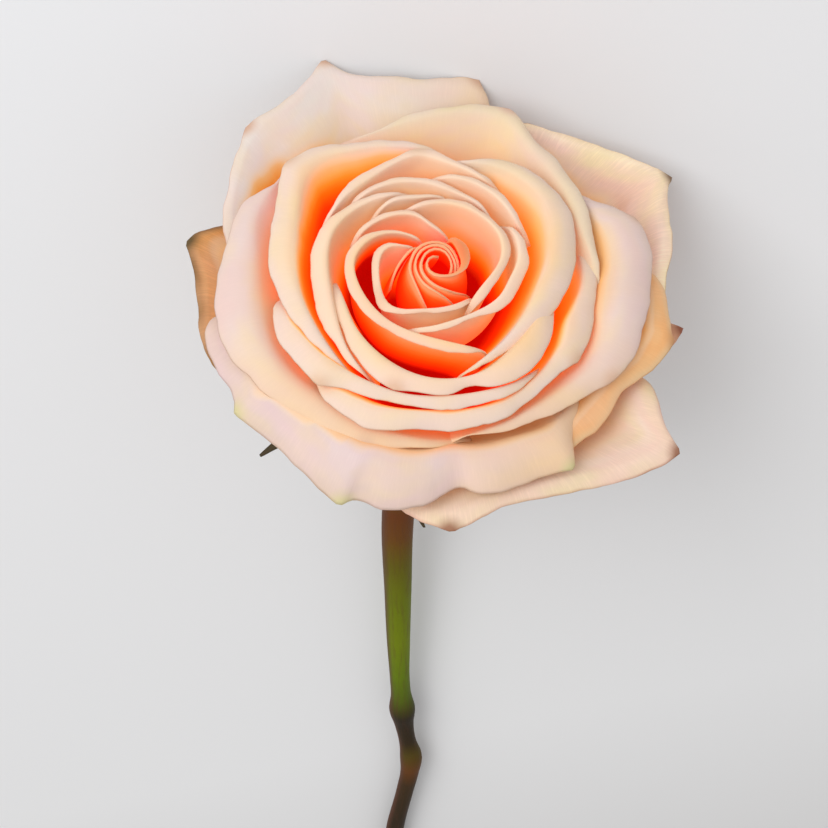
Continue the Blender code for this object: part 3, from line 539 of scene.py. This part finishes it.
def reckoned(tree, operation, source, number):
    """A value worked on with a number."""
    node = tree.nodes.new("ShaderNodeMath")
    node.operation = operation
    node.inputs[1].default_value = number
    tree.links.new(source, node.inputs[0])
    return node.outputs["Value"]


def scaled(tree, source, factor):
    """A value times a number."""
    return reckoned(tree, "MULTIPLY", source, factor)


def raised(tree, source, amount):
    """A value plus a number."""
    return reckoned(tree, "ADD", source, amount)


def spot(tree, x, y):
    """The place that noise is read at, from two values."""
    node = tree.nodes.new("ShaderNodeCombineXYZ")
    tree.links.new(x, node.inputs["X"])
    tree.links.new(y, node.inputs["Y"])
    return node.outputs["Vector"]


def grained(tree, place_at, scale, detail):
    """Noise at a place."""
    grain = tree.nodes.new("ShaderNodeTexNoise")
    grain.inputs["Scale"].default_value = scale
    grain.inputs["Detail"].default_value = detail
    tree.links.new(place_at, grain.inputs["Vector"])
    return grain.outputs["Fac"]


def embossed(tree, shader, height, strength, depth):
    """Raises a shader's surface by a value, the depth in millimetres."""
    bump = tree.nodes.new("ShaderNodeBump")
    bump.inputs["Strength"].default_value = strength
    bump.inputs["Distance"].default_value = depth * MM
    tree.links.new(height, bump.inputs["Height"])
    tree.links.new(bump.outputs["Normal"], shader.inputs["Normal"])


def streaks(tree, across, down, detail):
    """Noise drawn out from root to rim: the lengths are its grain across and down a petal."""
    x = scaled(tree, attribute(tree, "across"), 1 / across)
    y = scaled(tree, attribute(tree, "depth"), DEPTH_SPAN / down)
    return grained(tree, spot(tree, x, y), 1, detail)


def petal_look(whorl, side, stops, cream, pink, patchy, veins, corner):
    """A petal's face, coloured by how far below its rim each point is and how closed in it is, with
    painted shade and a painted glow in its closed-in places.
    """
    look, tree, shader = node_kit(f"petal_{whorl}_{side}")
    # the amount of painted shade at each point
    painted_shade = attribute(tree, f"gloom_{side}")
    bare = tinted(tree, attribute(tree, "depth"), stops)
    start, full = BLOTCH_BAND
    for tint, grain in zip((cream, pink), BLOTCH_GRAINS):
        blotch = faded(tree, streaks(tree, *grain, BLOTCH_DETAIL), ((start, 0), (full, patchy)))
        bare = mixed(tree, blotch, bare, linear(tint))
    bare = mixed(tree, scaled(tree, attribute(tree, "warm"), WARM_MOST), bare, linear(WARM_TINT))
    vein = streaks(tree, *VEIN_GRAIN, VEIN_DETAIL)
    start, middle, end = VEIN_BAND
    vein_band = faded(tree, vein, ((start, 1), (middle, 1 - veins), (end, 1)))
    bare = mixed(tree, 1.0, bare, vein_band, "MULTIPLY")
    bare = mixed(tree, faded(tree, attribute(tree, "tip"), TIP_BAND), bare, linear(corner))
    # painted shade colours, laid over the petal's own colours
    shade_colour = tinted(tree, painted_shade, DEEPER.get(whorl, DEEP))
    colour = mixed(tree, faded(tree, painted_shade, SHADE_MIX), bare, shade_colour)
    tree.links.new(colour, shader.inputs["Base Color"])
    shader.inputs["Roughness"].default_value = PETAL_ROUGH
    shader.inputs["Specular IOR Level"].default_value = PETAL_GLOSS
    # painted glow: the petal emits its own colour, by its painted shade and an even part
    tree.links.new(colour, shader.inputs["Emission Color"])
    share, even = PAINTED_LIGHT.get(whorl, (1, 0))
    painted_light = raised(tree, scaled(tree, faded(tree, painted_shade, PAINTED_GLOW), share), even)
    tree.links.new(painted_light, shader.inputs["Emission Strength"])
    embossed(tree, shader, vein, VEIN_RELIEF, veins * VEIN_DEPTH)
    glow = tree.nodes.new("ShaderNodeBsdfTranslucent")
    tree.links.new(colour, glow.inputs["Color"])
    mix = tree.nodes.new("ShaderNodeMixShader")
    mix.inputs["Fac"].default_value = PETAL_THROUGH
    tree.links.new(shader.outputs["BSDF"], mix.inputs[1])
    tree.links.new(glow.outputs["BSDF"], mix.inputs[2])
    tree.links.new(mix.outputs["Shader"], tree.nodes["Material Output"].inputs["Surface"])
    return look


PETAL_ROUGH = 0.6
PETAL_GLOSS = 0.12
PETAL_THROUGH = 0.09  # how much light passes through a petal

# Blotches and veins: their grain across and down a petal in millimetres, and where in the noise
# they start and end
BLOTCH_GRAINS = ((15, 9), (19, 8))
BLOTCH_DETAIL = 2
BLOTCH_BAND = (0.4, 0.68)
VEIN_GRAIN = (0.6, 7)
VEIN_DETAIL = 3
VEIN_BAND = (0.3, 0.5, 0.66)
VEIN_RELIEF = 0.5
VEIN_DEPTH = 2  # the relief's depth in millimetres, for veins of strength 1

# Painted shade in the bloom's hollows: colours by how much painted shade a point takes, which is
# how closed in and how far below its rim it is
# how far the painted shade colours cover the petal's own colours
SHADE_MIX = ((0.12, 0.0), (0.42, 1.0))
DEEP = (
    (0.2, (241, 216, 186)), (0.3, (246, 209, 164)), (0.42, (247, 193, 130)), (0.55, (250, 172, 88)),
    (0.65, (252, 144, 42)), (0.75, (248, 106, 8)), (0.85, (228, 56, 2)), (0.95, (168, 5, 0)),
)
DEEPER = {  # whorls that turn red sooner
    "heart_left": (
        (0.2, (248, 196, 146)), (0.42, (250, 158, 88)), (0.55, (250, 124, 44)),
        (0.65, (248, 98, 18)), (0.75, (244, 72, 4)), (0.85, (226, 46, 2)), (0.95, (168, 5, 0))),
    "bud": (
        (0.2, (252, 164, 110)), (0.42, (251, 128, 68)), (0.6, (249, 90, 26)), (0.75, (244, 58, 4)),
        (0.9, (196, 12, 0))),
}
# Painted glow: how strongly a petal emits its own colour, by the amount of painted shade at a
# point, in place of light that comes through the petals in the bloom's hollows
PAINTED_GLOW = ((0.15, 0.0), (0.25, 0.06), (0.45, 0.18), (0.65, 0.4), (0.8, 0.6), (0.95, 0.72))
BACK_REACH = 1.5  # the outer faces darken more slowly on their way down
CROWD_POWER = 1.5  # how sharply the neighbours' effect sets in

# By whorl: how many millimetres below the rim the painted shade takes over; the most that
# neighbours add to the painted shade, how closed in a point is by then, and how far below the rim
# that starts; the petals' own colours by place below the rim (0 at the rim, 1 at DEPTH_SPAN); the
# colours of the two kinds of blotch and how strong they are; the veins' strength; and the colour at
# the rim's sharp corners.
# A petal belongs to the first whorl whose name its own name starts with.
WHORLS = {
    "guard_left": (60, 0.4, 0.12, 6, (
        (0.0, (96, 76, 48)), (0.03, (150, 104, 60)), (0.08, (232, 168, 106)),
        (0.3, (250, 196, 128)), (0.6, (242, 176, 106))), (196, 140, 70), (240, 184, 140), 0.6, 0.12,
        (84, 72, 46)),
    "guard_low": (80, 0.3, 0.12, 6, (
        (0.0, (206, 150, 122)), (0.02, (246, 218, 190)), (0.2, (250, 228, 208)),
        (0.5, (248, 212, 188)), (0.8, (240, 184, 150))), (234, 216, 168), (248, 208, 196), 0.7,
        0.07, (150, 96, 70)),
    "guard_front": (80, 0.36, 0.12, 6, (
        (0.0, (206, 168, 142)), (0.015, (220, 196, 180)), (0.15, (226, 204, 198)),
        (0.3, (232, 212, 212)), (0.5, (242, 216, 188))), (236, 212, 180), (228, 200, 202), 0.8,
        0.03, (214, 204, 150)),
    "guard_corner": (70, 0.5, 0.12, 6, (
        (0.0, (180, 134, 96)), (0.015, (255, 234, 196)), (0.07, (254, 232, 206)),
        (0.12, (246, 214, 196)), (0.33, (232, 186, 156)), (0.6, (212, 154, 118))), (240, 222, 172),
        (236, 200, 186), 0.7, 0.09, (104, 74, 52)),
    "guard_right": (60, 0.6, 0.12, 6, (
        (0.0, (190, 120, 90)), (0.02, (226, 170, 130)), (0.1, (236, 190, 150)),
        (0.4, (236, 180, 130))), (236, 206, 166), (232, 180, 150), 0.7, 0.05, (128, 62, 44)),
    "guard": (60, 0.75, 0.12, 6, (
        (0.0, (214, 168, 146)), (0.012, (234, 218, 206)), (0.1, (236, 226, 218)),
        (0.25, (240, 228, 216)), (0.4, (238, 212, 174)), (0.8, (230, 190, 140))), (242, 220, 184),
        (238, 216, 212), 0.7, 0.03, (214, 170, 142)),
    "outer_right": (34, 0.5, 0.12, 6, (
        (0.0, (228, 172, 122)), (0.015, (240, 200, 152)), (0.06, (247, 188, 128)),
        (0.3, (247, 170, 100))), (242, 208, 160), (243, 190, 148), 0.5, 0.04, (206, 150, 104)),
    "outer_top": (40, 0.3, 0.15, 7, (
        (0.0, (224, 182, 158)), (0.01, (240, 218, 196)), (0.08, (244, 222, 190)),
        (0.18, (246, 220, 176)), (0.35, (246, 212, 160)), (0.7, (246, 186, 122))), (244, 224, 176),
        (240, 212, 194), 0.7, 0.02, (226, 186, 164)),
    "outer": (45, 0.27, 0.15, 7, (
        (0.0, (216, 174, 152)), (0.01, (232, 208, 198)), (0.1, (234, 212, 206)),
        (0.2, (238, 214, 204)), (0.3, (243, 208, 172)), (0.5, (244, 190, 134))), (243, 218, 184),
        (236, 206, 200), 0.75, 0.02, (226, 188, 162)),
    "middle": (16, 0.6, 0.22, 4, (
        (0.0, (226, 190, 166)), (0.01, (240, 216, 200)), (0.1, (243, 217, 190)),
        (0.2, (247, 206, 156)), (0.35, (249, 176, 108)), (0.8, (250, 150, 75))), (246, 220, 172),
        (240, 212, 202), 0.6, 0.02, (230, 194, 164)),
    "inner": (16, 0.42, 0.5, 2.5, (
        (0.0, (232, 194, 170)), (0.01, (244, 216, 198)), (0.08, (248, 217, 182)),
        (0.2, (250, 204, 142)), (0.5, (250, 164, 74))), (248, 216, 168), (245, 212, 200), 0.5,
        0.015, (230, 190, 160)),
    "ring": (17, 0.4, 0.5, 2, (
        (0.0, (240, 206, 180)), (0.01, (247, 218, 196)), (0.07, (253, 222, 192)),
        (0.2, (252, 208, 150)), (0.5, (251, 166, 74))), (250, 216, 166), (247, 212, 196), 0.4, 0.01,
        (234, 200, 170)),
    "heart_left": (8, 0.45, 0.5, 2, (
        (0.0, (240, 204, 174)), (0.01, (246, 214, 188)), (0.05, (251, 212, 166)),
        (0.2, (252, 186, 106)), (0.5, (250, 140, 40))), (250, 210, 158), (247, 210, 190), 0.4, 0.01,
        (238, 200, 170)),
    "heart": (14, 0.3, 0.5, 2, (
        (0.0, (242, 204, 176)), (0.01, (248, 214, 190)), (0.05, (252, 218, 182)),
        (0.2, (253, 206, 146)), (0.5, (251, 156, 60))), (250, 210, 158), (248, 210, 192), 0.4, 0.01,
        (238, 200, 170)),
    "bud": (8, 0.76, 0.3, 1.5, (
        (0.0, (250, 196, 156)), (0.015, (252, 172, 118)), (0.04, (252, 152, 98)),
        (0.1, (251, 122, 68)), (0.22, (246, 80, 24))), (250, 160, 100), (248, 166, 118), 0.3, 0.01,
        (244, 170, 120)),
}
DEPTH_SPAN = 40.0  # in millimetres

# Painted light, emitted in place of light that comes through from behind and beside a petal: a
# share of the painted glow above, and an even part
PAINTED_LIGHT = {
    "guard_corner": (0, 0.12), "guard_low": (0, 0.02), "guard_left": (0, 0.08), "guard": (0, 0),
    "guard_front": (0.4, 0.03), "guard_right": (0, 0.05), "outer_right": (0.3, 0.03),
    "outer_top": (0.4, 0), "outer": (0.4, 0),
}
TIGHT = ("inner", "ring", "heart", "heart_left", "bud")  # whorls that darken late and then fast
TIGHT_FALL = 3
LOOSE_FALL = 2

DARKENING = {"middle_right": (20, 0.4, 0.25, 4)}  # a petal that differs from its whorl in this

# How much of the neighbours' painted shade a petal takes, by place along its rim, where it varies
SHADED_SIDE = {
    "guard_top": ((0.0, 1.2), (0.38, 1.0), (0.52, 0.3), (1.0, 0.2)),
    "guard_corner": ((0.0, 1.3), (0.45, 1.2), (0.65, 0.4), (1.0, 0.3)),
    "outer_lip_right": ((0.0, 1.6), (0.35, 1.5), (0.5, 1.0), (1.0, 1.0)),
}
# How much of the warm tint a petal takes, by place along its rim
WARM_TINT = (246, 206, 156)
WARM_MOST = 0.75
WARM_SIDE = {
    "guard_top": ((0.0, 0.0), (0.6, 0.0), (0.85, 0.7), (1.0, 0.8)),
    "guard_front": ((0.0, 0.9), (0.2, 0.8), (0.38, 0.1), (0.8, 0.0), (1.0, 0.4)),
    "outer_lip_left": ((0.0, 0.9), (0.35, 0.8), (0.55, 0.1), (1.0, 0.0)),
    "outer_lip_right": ((0.0, 0.2), (0.3, 0.0), (0.5, 0.0), (0.7, 0.6), (1.0, 0.8)),
}
TIP_SIZE = 2.6  # how far the colour of a sharp corner reaches
TIP_BAND = ((0.1, 0), (0.8, 0.85))
STREAK_SHIFT = 200  # keeps one petal's streaks apart from the next one's


def along_rim(table, name, usual, at):
    """An amount for each column of a petal, from its row in a table or the usual one."""
    places, amounts = zip(*table.get(name, ((0, usual), (1, usual))))
    return np.interp(at / at[-1], places, amounts)[:, None]


def make_petals():
    """Each petal as a piece of its own."""
    looks = {}
    for whorl, (_, _, _, _, *colours) in WHORLS.items():
        looks[whorl] = [petal_look(whorl, side, *colours) for side in ("front", "back")]
    turn = settle() @ upright_to_row()
    sheets = [petal_grid(order, spec) for order, spec in enumerate(PETALS.values())]
    shelter = sheltered([grid for *_, grid in sheets])
    for order, (name, sheet, (front, back)) in enumerate(zip(PETALS, sheets, shelter)):
        at, corners, grid = sheet
        whorl = next(key for key in WHORLS if name.startswith(key))
        reach, most, full, brim = DARKENING.get(name, WHORLS[whorl][:4])
        steps = np.linalg.norm(np.diff(grid, axis=1), axis=2)
        down = np.cumsum(steps[:, ::-1], axis=1)[:, ::-1]
        below = np.concatenate([down, 0 * steps[:, :1]], axis=1)
        inside = 1 - np.exp(-((below / brim) ** 2))
        favour = along_rim(SHADED_SIDE, name, 1, at)
        tips = np.zeros(below.shape)
        for corner in corners:
            away = np.linalg.norm(grid - grid[corner, -1], axis=2)
            tips = np.maximum(tips, np.exp(-((away / TIP_SIZE) ** 2)))
        # painted shade for the front and back: it grows with how closed in each face is and how far
        # below its rim it lies
        painted_shade = []
        fall = TIGHT_FALL if whorl in TIGHT else LOOSE_FALL
        for closed, far in ((front, reach), (back, reach * BACK_REACH)):
            crowd = most * (1 - np.exp(-((closed / full) ** CROWD_POWER))) * inside * favour
            painted_shade.append(1 - (1 - crowd) * np.exp(-((below / far) ** fall)))
        values = {
            "depth": below / DEPTH_SPAN,
            "across": np.repeat(at[:, None], grid.shape[1], axis=1) + STREAK_SHIFT * order,
            "gloom_front": painted_shade[0],
            "gloom_back": painted_shade[1],
            "tip": tips,
            "warm": along_rim(WARM_SIDE, name, 0, at) + 0 * below,
        }
        mesh = grid_mesh(name, grid, values)
        mesh.transform(turn)
        piece = add_piece(name, mesh, "bloom", looks[whorl])
        thicken(piece, BLADE, back=1)


def turned_mesh(name, profile):
    """A turned solid from a profile that runs down its outer side."""
    angle = np.linspace(0, 2 * math.pi, TURN_SIDES + 1)
    outline = np.array([(TURN_END, profile[0][1]), *profile, (TURN_END, profile[-1][1])])
    radius, level = (np.repeat(column[None, :], len(angle), axis=0) for column in outline.T)
    strength, patches = TURN_PATCHES
    side = strength * np.cos(patches * angle)[:, None] + 0 * level
    grid = place(angle[:, None] + 0 * level, radius, level)
    return grid_mesh(name, grid, {"along": np.abs(level) / TURN_SPAN, "round": side})


# Colours along a sepal from root to tip, and along the stem from the bloom to the cut, with the
# colours of the flecks and of the second tint, and how fine the grain is
SEPAL_TONES = (
    (0.0, (92, 100, 34)), (0.35, (84, 86, 38)), (0.7, (78, 70, 42)), (1.0, (70, 62, 48)),
)
SEPAL_TINTS = ((116, 112, 66), (92, 58, 34), 9)
STEM_TONES = (
    (0.0, (76, 84, 22)), (0.14, (84, 70, 20)), (0.2, (98, 52, 20)), (0.24, (100, 62, 18)),
    (0.285, (92, 84, 12)), (0.35, (98, 108, 6)), (0.42, (104, 118, 6)), (0.48, (92, 112, 8)),
    (0.52, (78, 92, 16)), (0.538, (62, 60, 20)), (0.552, (40, 30, 18)), (0.6, (48, 36, 18)),
    (0.622, (76, 62, 16)), (0.65, (92, 52, 14)), (0.68, (56, 40, 20)), (0.75, (46, 35, 22)),
    (0.85, (62, 50, 24)), (1.0, (84, 84, 36)),
)
STEM_TINTS = ((70, 56, 26), (84, 50, 34), 40)
STEM_SPAN = 221.0  # the stem's length

# The green skin: its grain round the piece and in the noise, where in the noise its patches and
# flecks start, and from where round the piece the second tint shows
GREEN_GRAIN_ROUND = 6
GREEN_SCALES = (0.6, 3.0)
GREEN_DETAIL = 3
PATCH_BAND = ((0.5, 0), (0.75, 0.35))
SIDE_BAND = ((0.55, 0), (1.0, 0.85))
FLECK_BAND = ((0.58, 0), (0.75, 0.35))
GREEN_ROUGH = 0.5
GREEN_GLOSS = 0.1
GREEN_RELIEF = (0.4, 0.25)
CORE_ROUGH = 0.7


def green_look(name, stops, fleck, edge, grain):
    """Skin of a stem or sepal: colours along it, a second tint here and there, and flecks."""
    look, tree, shader = node_kit(name)
    along, side = attribute(tree, "along"), attribute(tree, "round")
    place_at = spot(tree, scaled(tree, along, grain), scaled(tree, side, GREEN_GRAIN_ROUND))
    patches, spots = (grained(tree, place_at, scale, GREEN_DETAIL) for scale in GREEN_SCALES)
    colour = tinted(tree, along, stops)
    tints = ((patches, PATCH_BAND, edge), (side, SIDE_BAND, edge), (spots, FLECK_BAND, fleck))
    for source, band, tint in tints:
        colour = mixed(tree, faded(tree, source, band), colour, linear(tint))
    tree.links.new(colour, shader.inputs["Base Color"])
    shader.inputs["Roughness"].default_value = GREEN_ROUGH
    shader.inputs["Specular IOR Level"].default_value = GREEN_GLOSS
    embossed(tree, shader, spots, *GREEN_RELIEF)
    return look


def make_core():
    """The core that the petals stand in."""
    mesh = turned_mesh("core", CORE_PROFILE)
    mesh.transform(settle() @ upright_to_row())
    look, tree, shader = node_kit("core")
    tree.links.new(tinted(tree, attribute(tree, "along"), CORE_TONES), shader.inputs["Base Color"])
    shader.inputs["Roughness"].default_value = CORE_ROUGH
    add_piece("core", mesh, "bloom", [look])


def make_calyx():
    """The hip and its five sepals."""
    green = green_look("calyx", SEPAL_TONES, *SEPAL_TINTS)
    turn = settle() @ upright_to_row()
    hip = turned_mesh("hip", HIP_PROFILE)
    hip.transform(turn)
    add_piece("hip", hip, "calyx", [green])
    root_radius, root_height = SEPAL_ROOT
    t = np.linspace(0, 1, SEPAL_ROWS + 1)[:, None]
    side = np.linspace(-1, 1, SEPAL_COLUMNS + 1)[None, :]
    for order, (angle, reach, curl) in enumerate(SEPALS):
        radius = root_radius + (reach - root_radius) * t
        arch = SEPAL_ARCH * np.sin(math.pi * np.minimum(1, t * SEPAL_ARCH_SPEED))
        height = root_height + arch - SEPAL_DROOP * t * t
        swell = (1 - t) ** SEPAL_TAPER * (SEPAL_SWELL[0] + SEPAL_SWELL[1] * np.sin(math.pi * t))
        half = (SEPAL_WIDTH * swell + SEPAL_TIP) / 2
        turned = np.radians(angle + curl * t * t)
        across = side * half
        x = np.cos(turned) * radius - np.sin(turned) * across
        y = np.sin(turned) * radius + np.cos(turned) * across
        z = height - SEPAL_SAG * np.abs(side) * half
        grid = np.stack([x, y, z], axis=-1)
        values = {"along": t + 0 * side, "round": 0 * t + side * SEPAL_ROUND}
        mesh = grid_mesh(f"sepal_{order}", grid, values)
        mesh.transform(turn)
        thicken(add_piece(f"sepal_{order}", mesh, "calyx", [green]), SEPAL_THICK)


def make_stem():
    """The stem with its nodes."""
    route = np.array(STEM_ROUTE, dtype=float)
    lengths = np.linalg.norm(np.diff(route[:, :3], axis=0), axis=1)
    places = np.concatenate([[0], np.cumsum(lengths)])
    at = np.linspace(0, places[-1], STEM_RINGS)
    points = smooth_through(places, route, [], at)
    tangent = np.gradient(points[:, :3], at, axis=0)
    tangent /= np.linalg.norm(tangent, axis=1)[:, None]
    sideways = np.cross(tangent, (0, 0, 1.0))
    sideways /= np.linalg.norm(sideways, axis=1)[:, None]
    upwards = np.cross(sideways, tangent)
    angle = np.linspace(0, 2 * math.pi, STEM_SIDES + 1)
    across, up = np.cos(angle)[None, :, None], np.sin(angle)[None, :, None]
    ring = sideways[:, None] * across + upwards[:, None] * up
    grid = points[:, None, :3] + ring * points[:, None, 3:]
    keep = np.searchsorted(at, at[-1] - CUT_BACK)
    grid = grid[:keep]
    near_end, far_end = grid[:1] * 0 + points[0, :3], grid[-1:] * 0 + points[keep - 1, :3]
    grid = np.concatenate([near_end, grid, far_end])
    along = np.concatenate([at[:1], at[:keep], at[keep - 1 : keep]])
    share = np.repeat(along[:, None] / STEM_SPAN, len(angle), axis=1)
    mesh = grid_mesh("stem", grid, {"along": share, "round": np.cos(angle)[None, :] + 0 * share})
    mesh.transform(settle())
    add_piece("stem", mesh, "stem", [green_look("stem", STEM_TONES, *STEM_TINTS)])


# The surface, with painted shade: its tone falls off below the bloom and to its right, and comes
# back further out
FLOOR_HALF = 3.0
FLOOR_SHADE_SLOPE = (-0.65, 1.85, 0)
FLOOR_START = 0.37
FLOOR_SHADE_TONES = (
    (0.0, (0.75, 0.755, 0.77)), (0.22, (0.72, 0.72, 0.73)), (0.49, (0.69, 0.69, 0.695)),
    (0.61, (0.6, 0.595, 0.595)), (0.74, (0.57, 0.565, 0.56)), (1.0, (0.68, 0.68, 0.68)),
)
FLOOR_ROUGH = 0.9


def make_floor():
    """The pale surface that the rose lies on, with painted shade across it."""
    mesh = bpy.data.meshes.new("floor")
    corners = [(x * FLOOR_HALF, y * FLOOR_HALF, 0) for x, y in ((-1, -1), (1, -1), (1, 1), (-1, 1))]
    mesh.from_pydata(corners, [], [(0, 1, 2, 3)])
    floor = bpy.data.objects.new("floor", mesh)
    bpy.context.scene.collection.objects.link(floor)
    look, tree, shader = node_kit("floor")
    where = tree.nodes.new("ShaderNodeTexCoord").outputs["Object"]
    fade = tree.nodes.new("ShaderNodeVectorMath")
    fade.operation = "DOT_PRODUCT"
    fade.inputs[1].default_value = FLOOR_SHADE_SLOPE
    tree.links.new(where, fade.inputs[0])
    # painted shade: the tone by place on the surface
    tone = ramp(tree, raised(tree, fade.outputs["Value"], FLOOR_START), FLOOR_SHADE_TONES)
    tree.links.new(tone, shader.inputs["Base Color"])
    shader.inputs["Roughness"].default_value = FLOOR_ROUGH
    mesh.materials.append(look)


# Soft studio light: even light from all round, and one large square lamp
WORLD_STRENGTH = 0.74
KEY_PLACE = (0.7, -0.9, 1.3)
KEY_SIZE = 1.2
KEY_POWER = 14


def make_lights():
    """The even light and the lamp, which faces the rose."""
    world = bpy.data.worlds.new("studio")
    world.use_nodes = True
    world.node_tree.nodes["Background"].inputs["Color"].default_value = (1.0, 1.0, 1.0, 1)
    world.node_tree.nodes["Background"].inputs["Strength"].default_value = WORLD_STRENGTH
    bpy.context.scene.world = world
    light = bpy.data.lights.new("key", "AREA")
    light.size = KEY_SIZE
    light.energy = KEY_POWER
    lamp = bpy.data.objects.new("key", light)
    lamp.location = KEY_PLACE
    lamp.rotation_euler = (-Vector(KEY_PLACE)).to_track_quat("-Z", "Y").to_euler()
    bpy.context.scene.collection.objects.link(lamp)


def make_camera():
    """The photograph's camera, which looks down on the lying rose."""
    turn = Matrix.Rotation(ROLL, 3, "Y")
    right = turn @ Vector((-1, 0, 0))
    toward = turn @ Vector((0, -math.cos(CAMERA_DOWN), math.sin(CAMERA_DOWN)))
    up = toward.cross(right)
    mouth = settle() @ upright_to_row() @ Vector((0, 0, MOUTH_HEIGHT * MM))
    scale = CAMERA_DISTANCE / FOCAL_PIXELS * MM
    aside, down = (pixel - IMAGE_WIDTH / 2 for pixel in MOUTH_PIXEL)
    camera = bpy.data.objects.new("camera", bpy.data.cameras.new("camera"))
    camera.data.sensor_width = SENSOR
    camera.data.lens = FOCAL_PIXELS / IMAGE_WIDTH * SENSOR
    camera.data.clip_start = NEAREST
    view = Matrix((right, up, toward)).transposed().to_4x4()
    view.translation = mouth + toward * CAMERA_DISTANCE * MM - (right * aside - up * down) * scale
    camera.matrix_world = view
    bpy.context.scene.collection.objects.link(camera)
    bpy.context.scene.camera = camera


make_core()
make_petals()
make_calyx()
make_stem()
make_floor()
make_lights()
make_camera()
bpy.context.scene.view_settings.view_transform = "Standard"
bpy.context.view_layer.update()
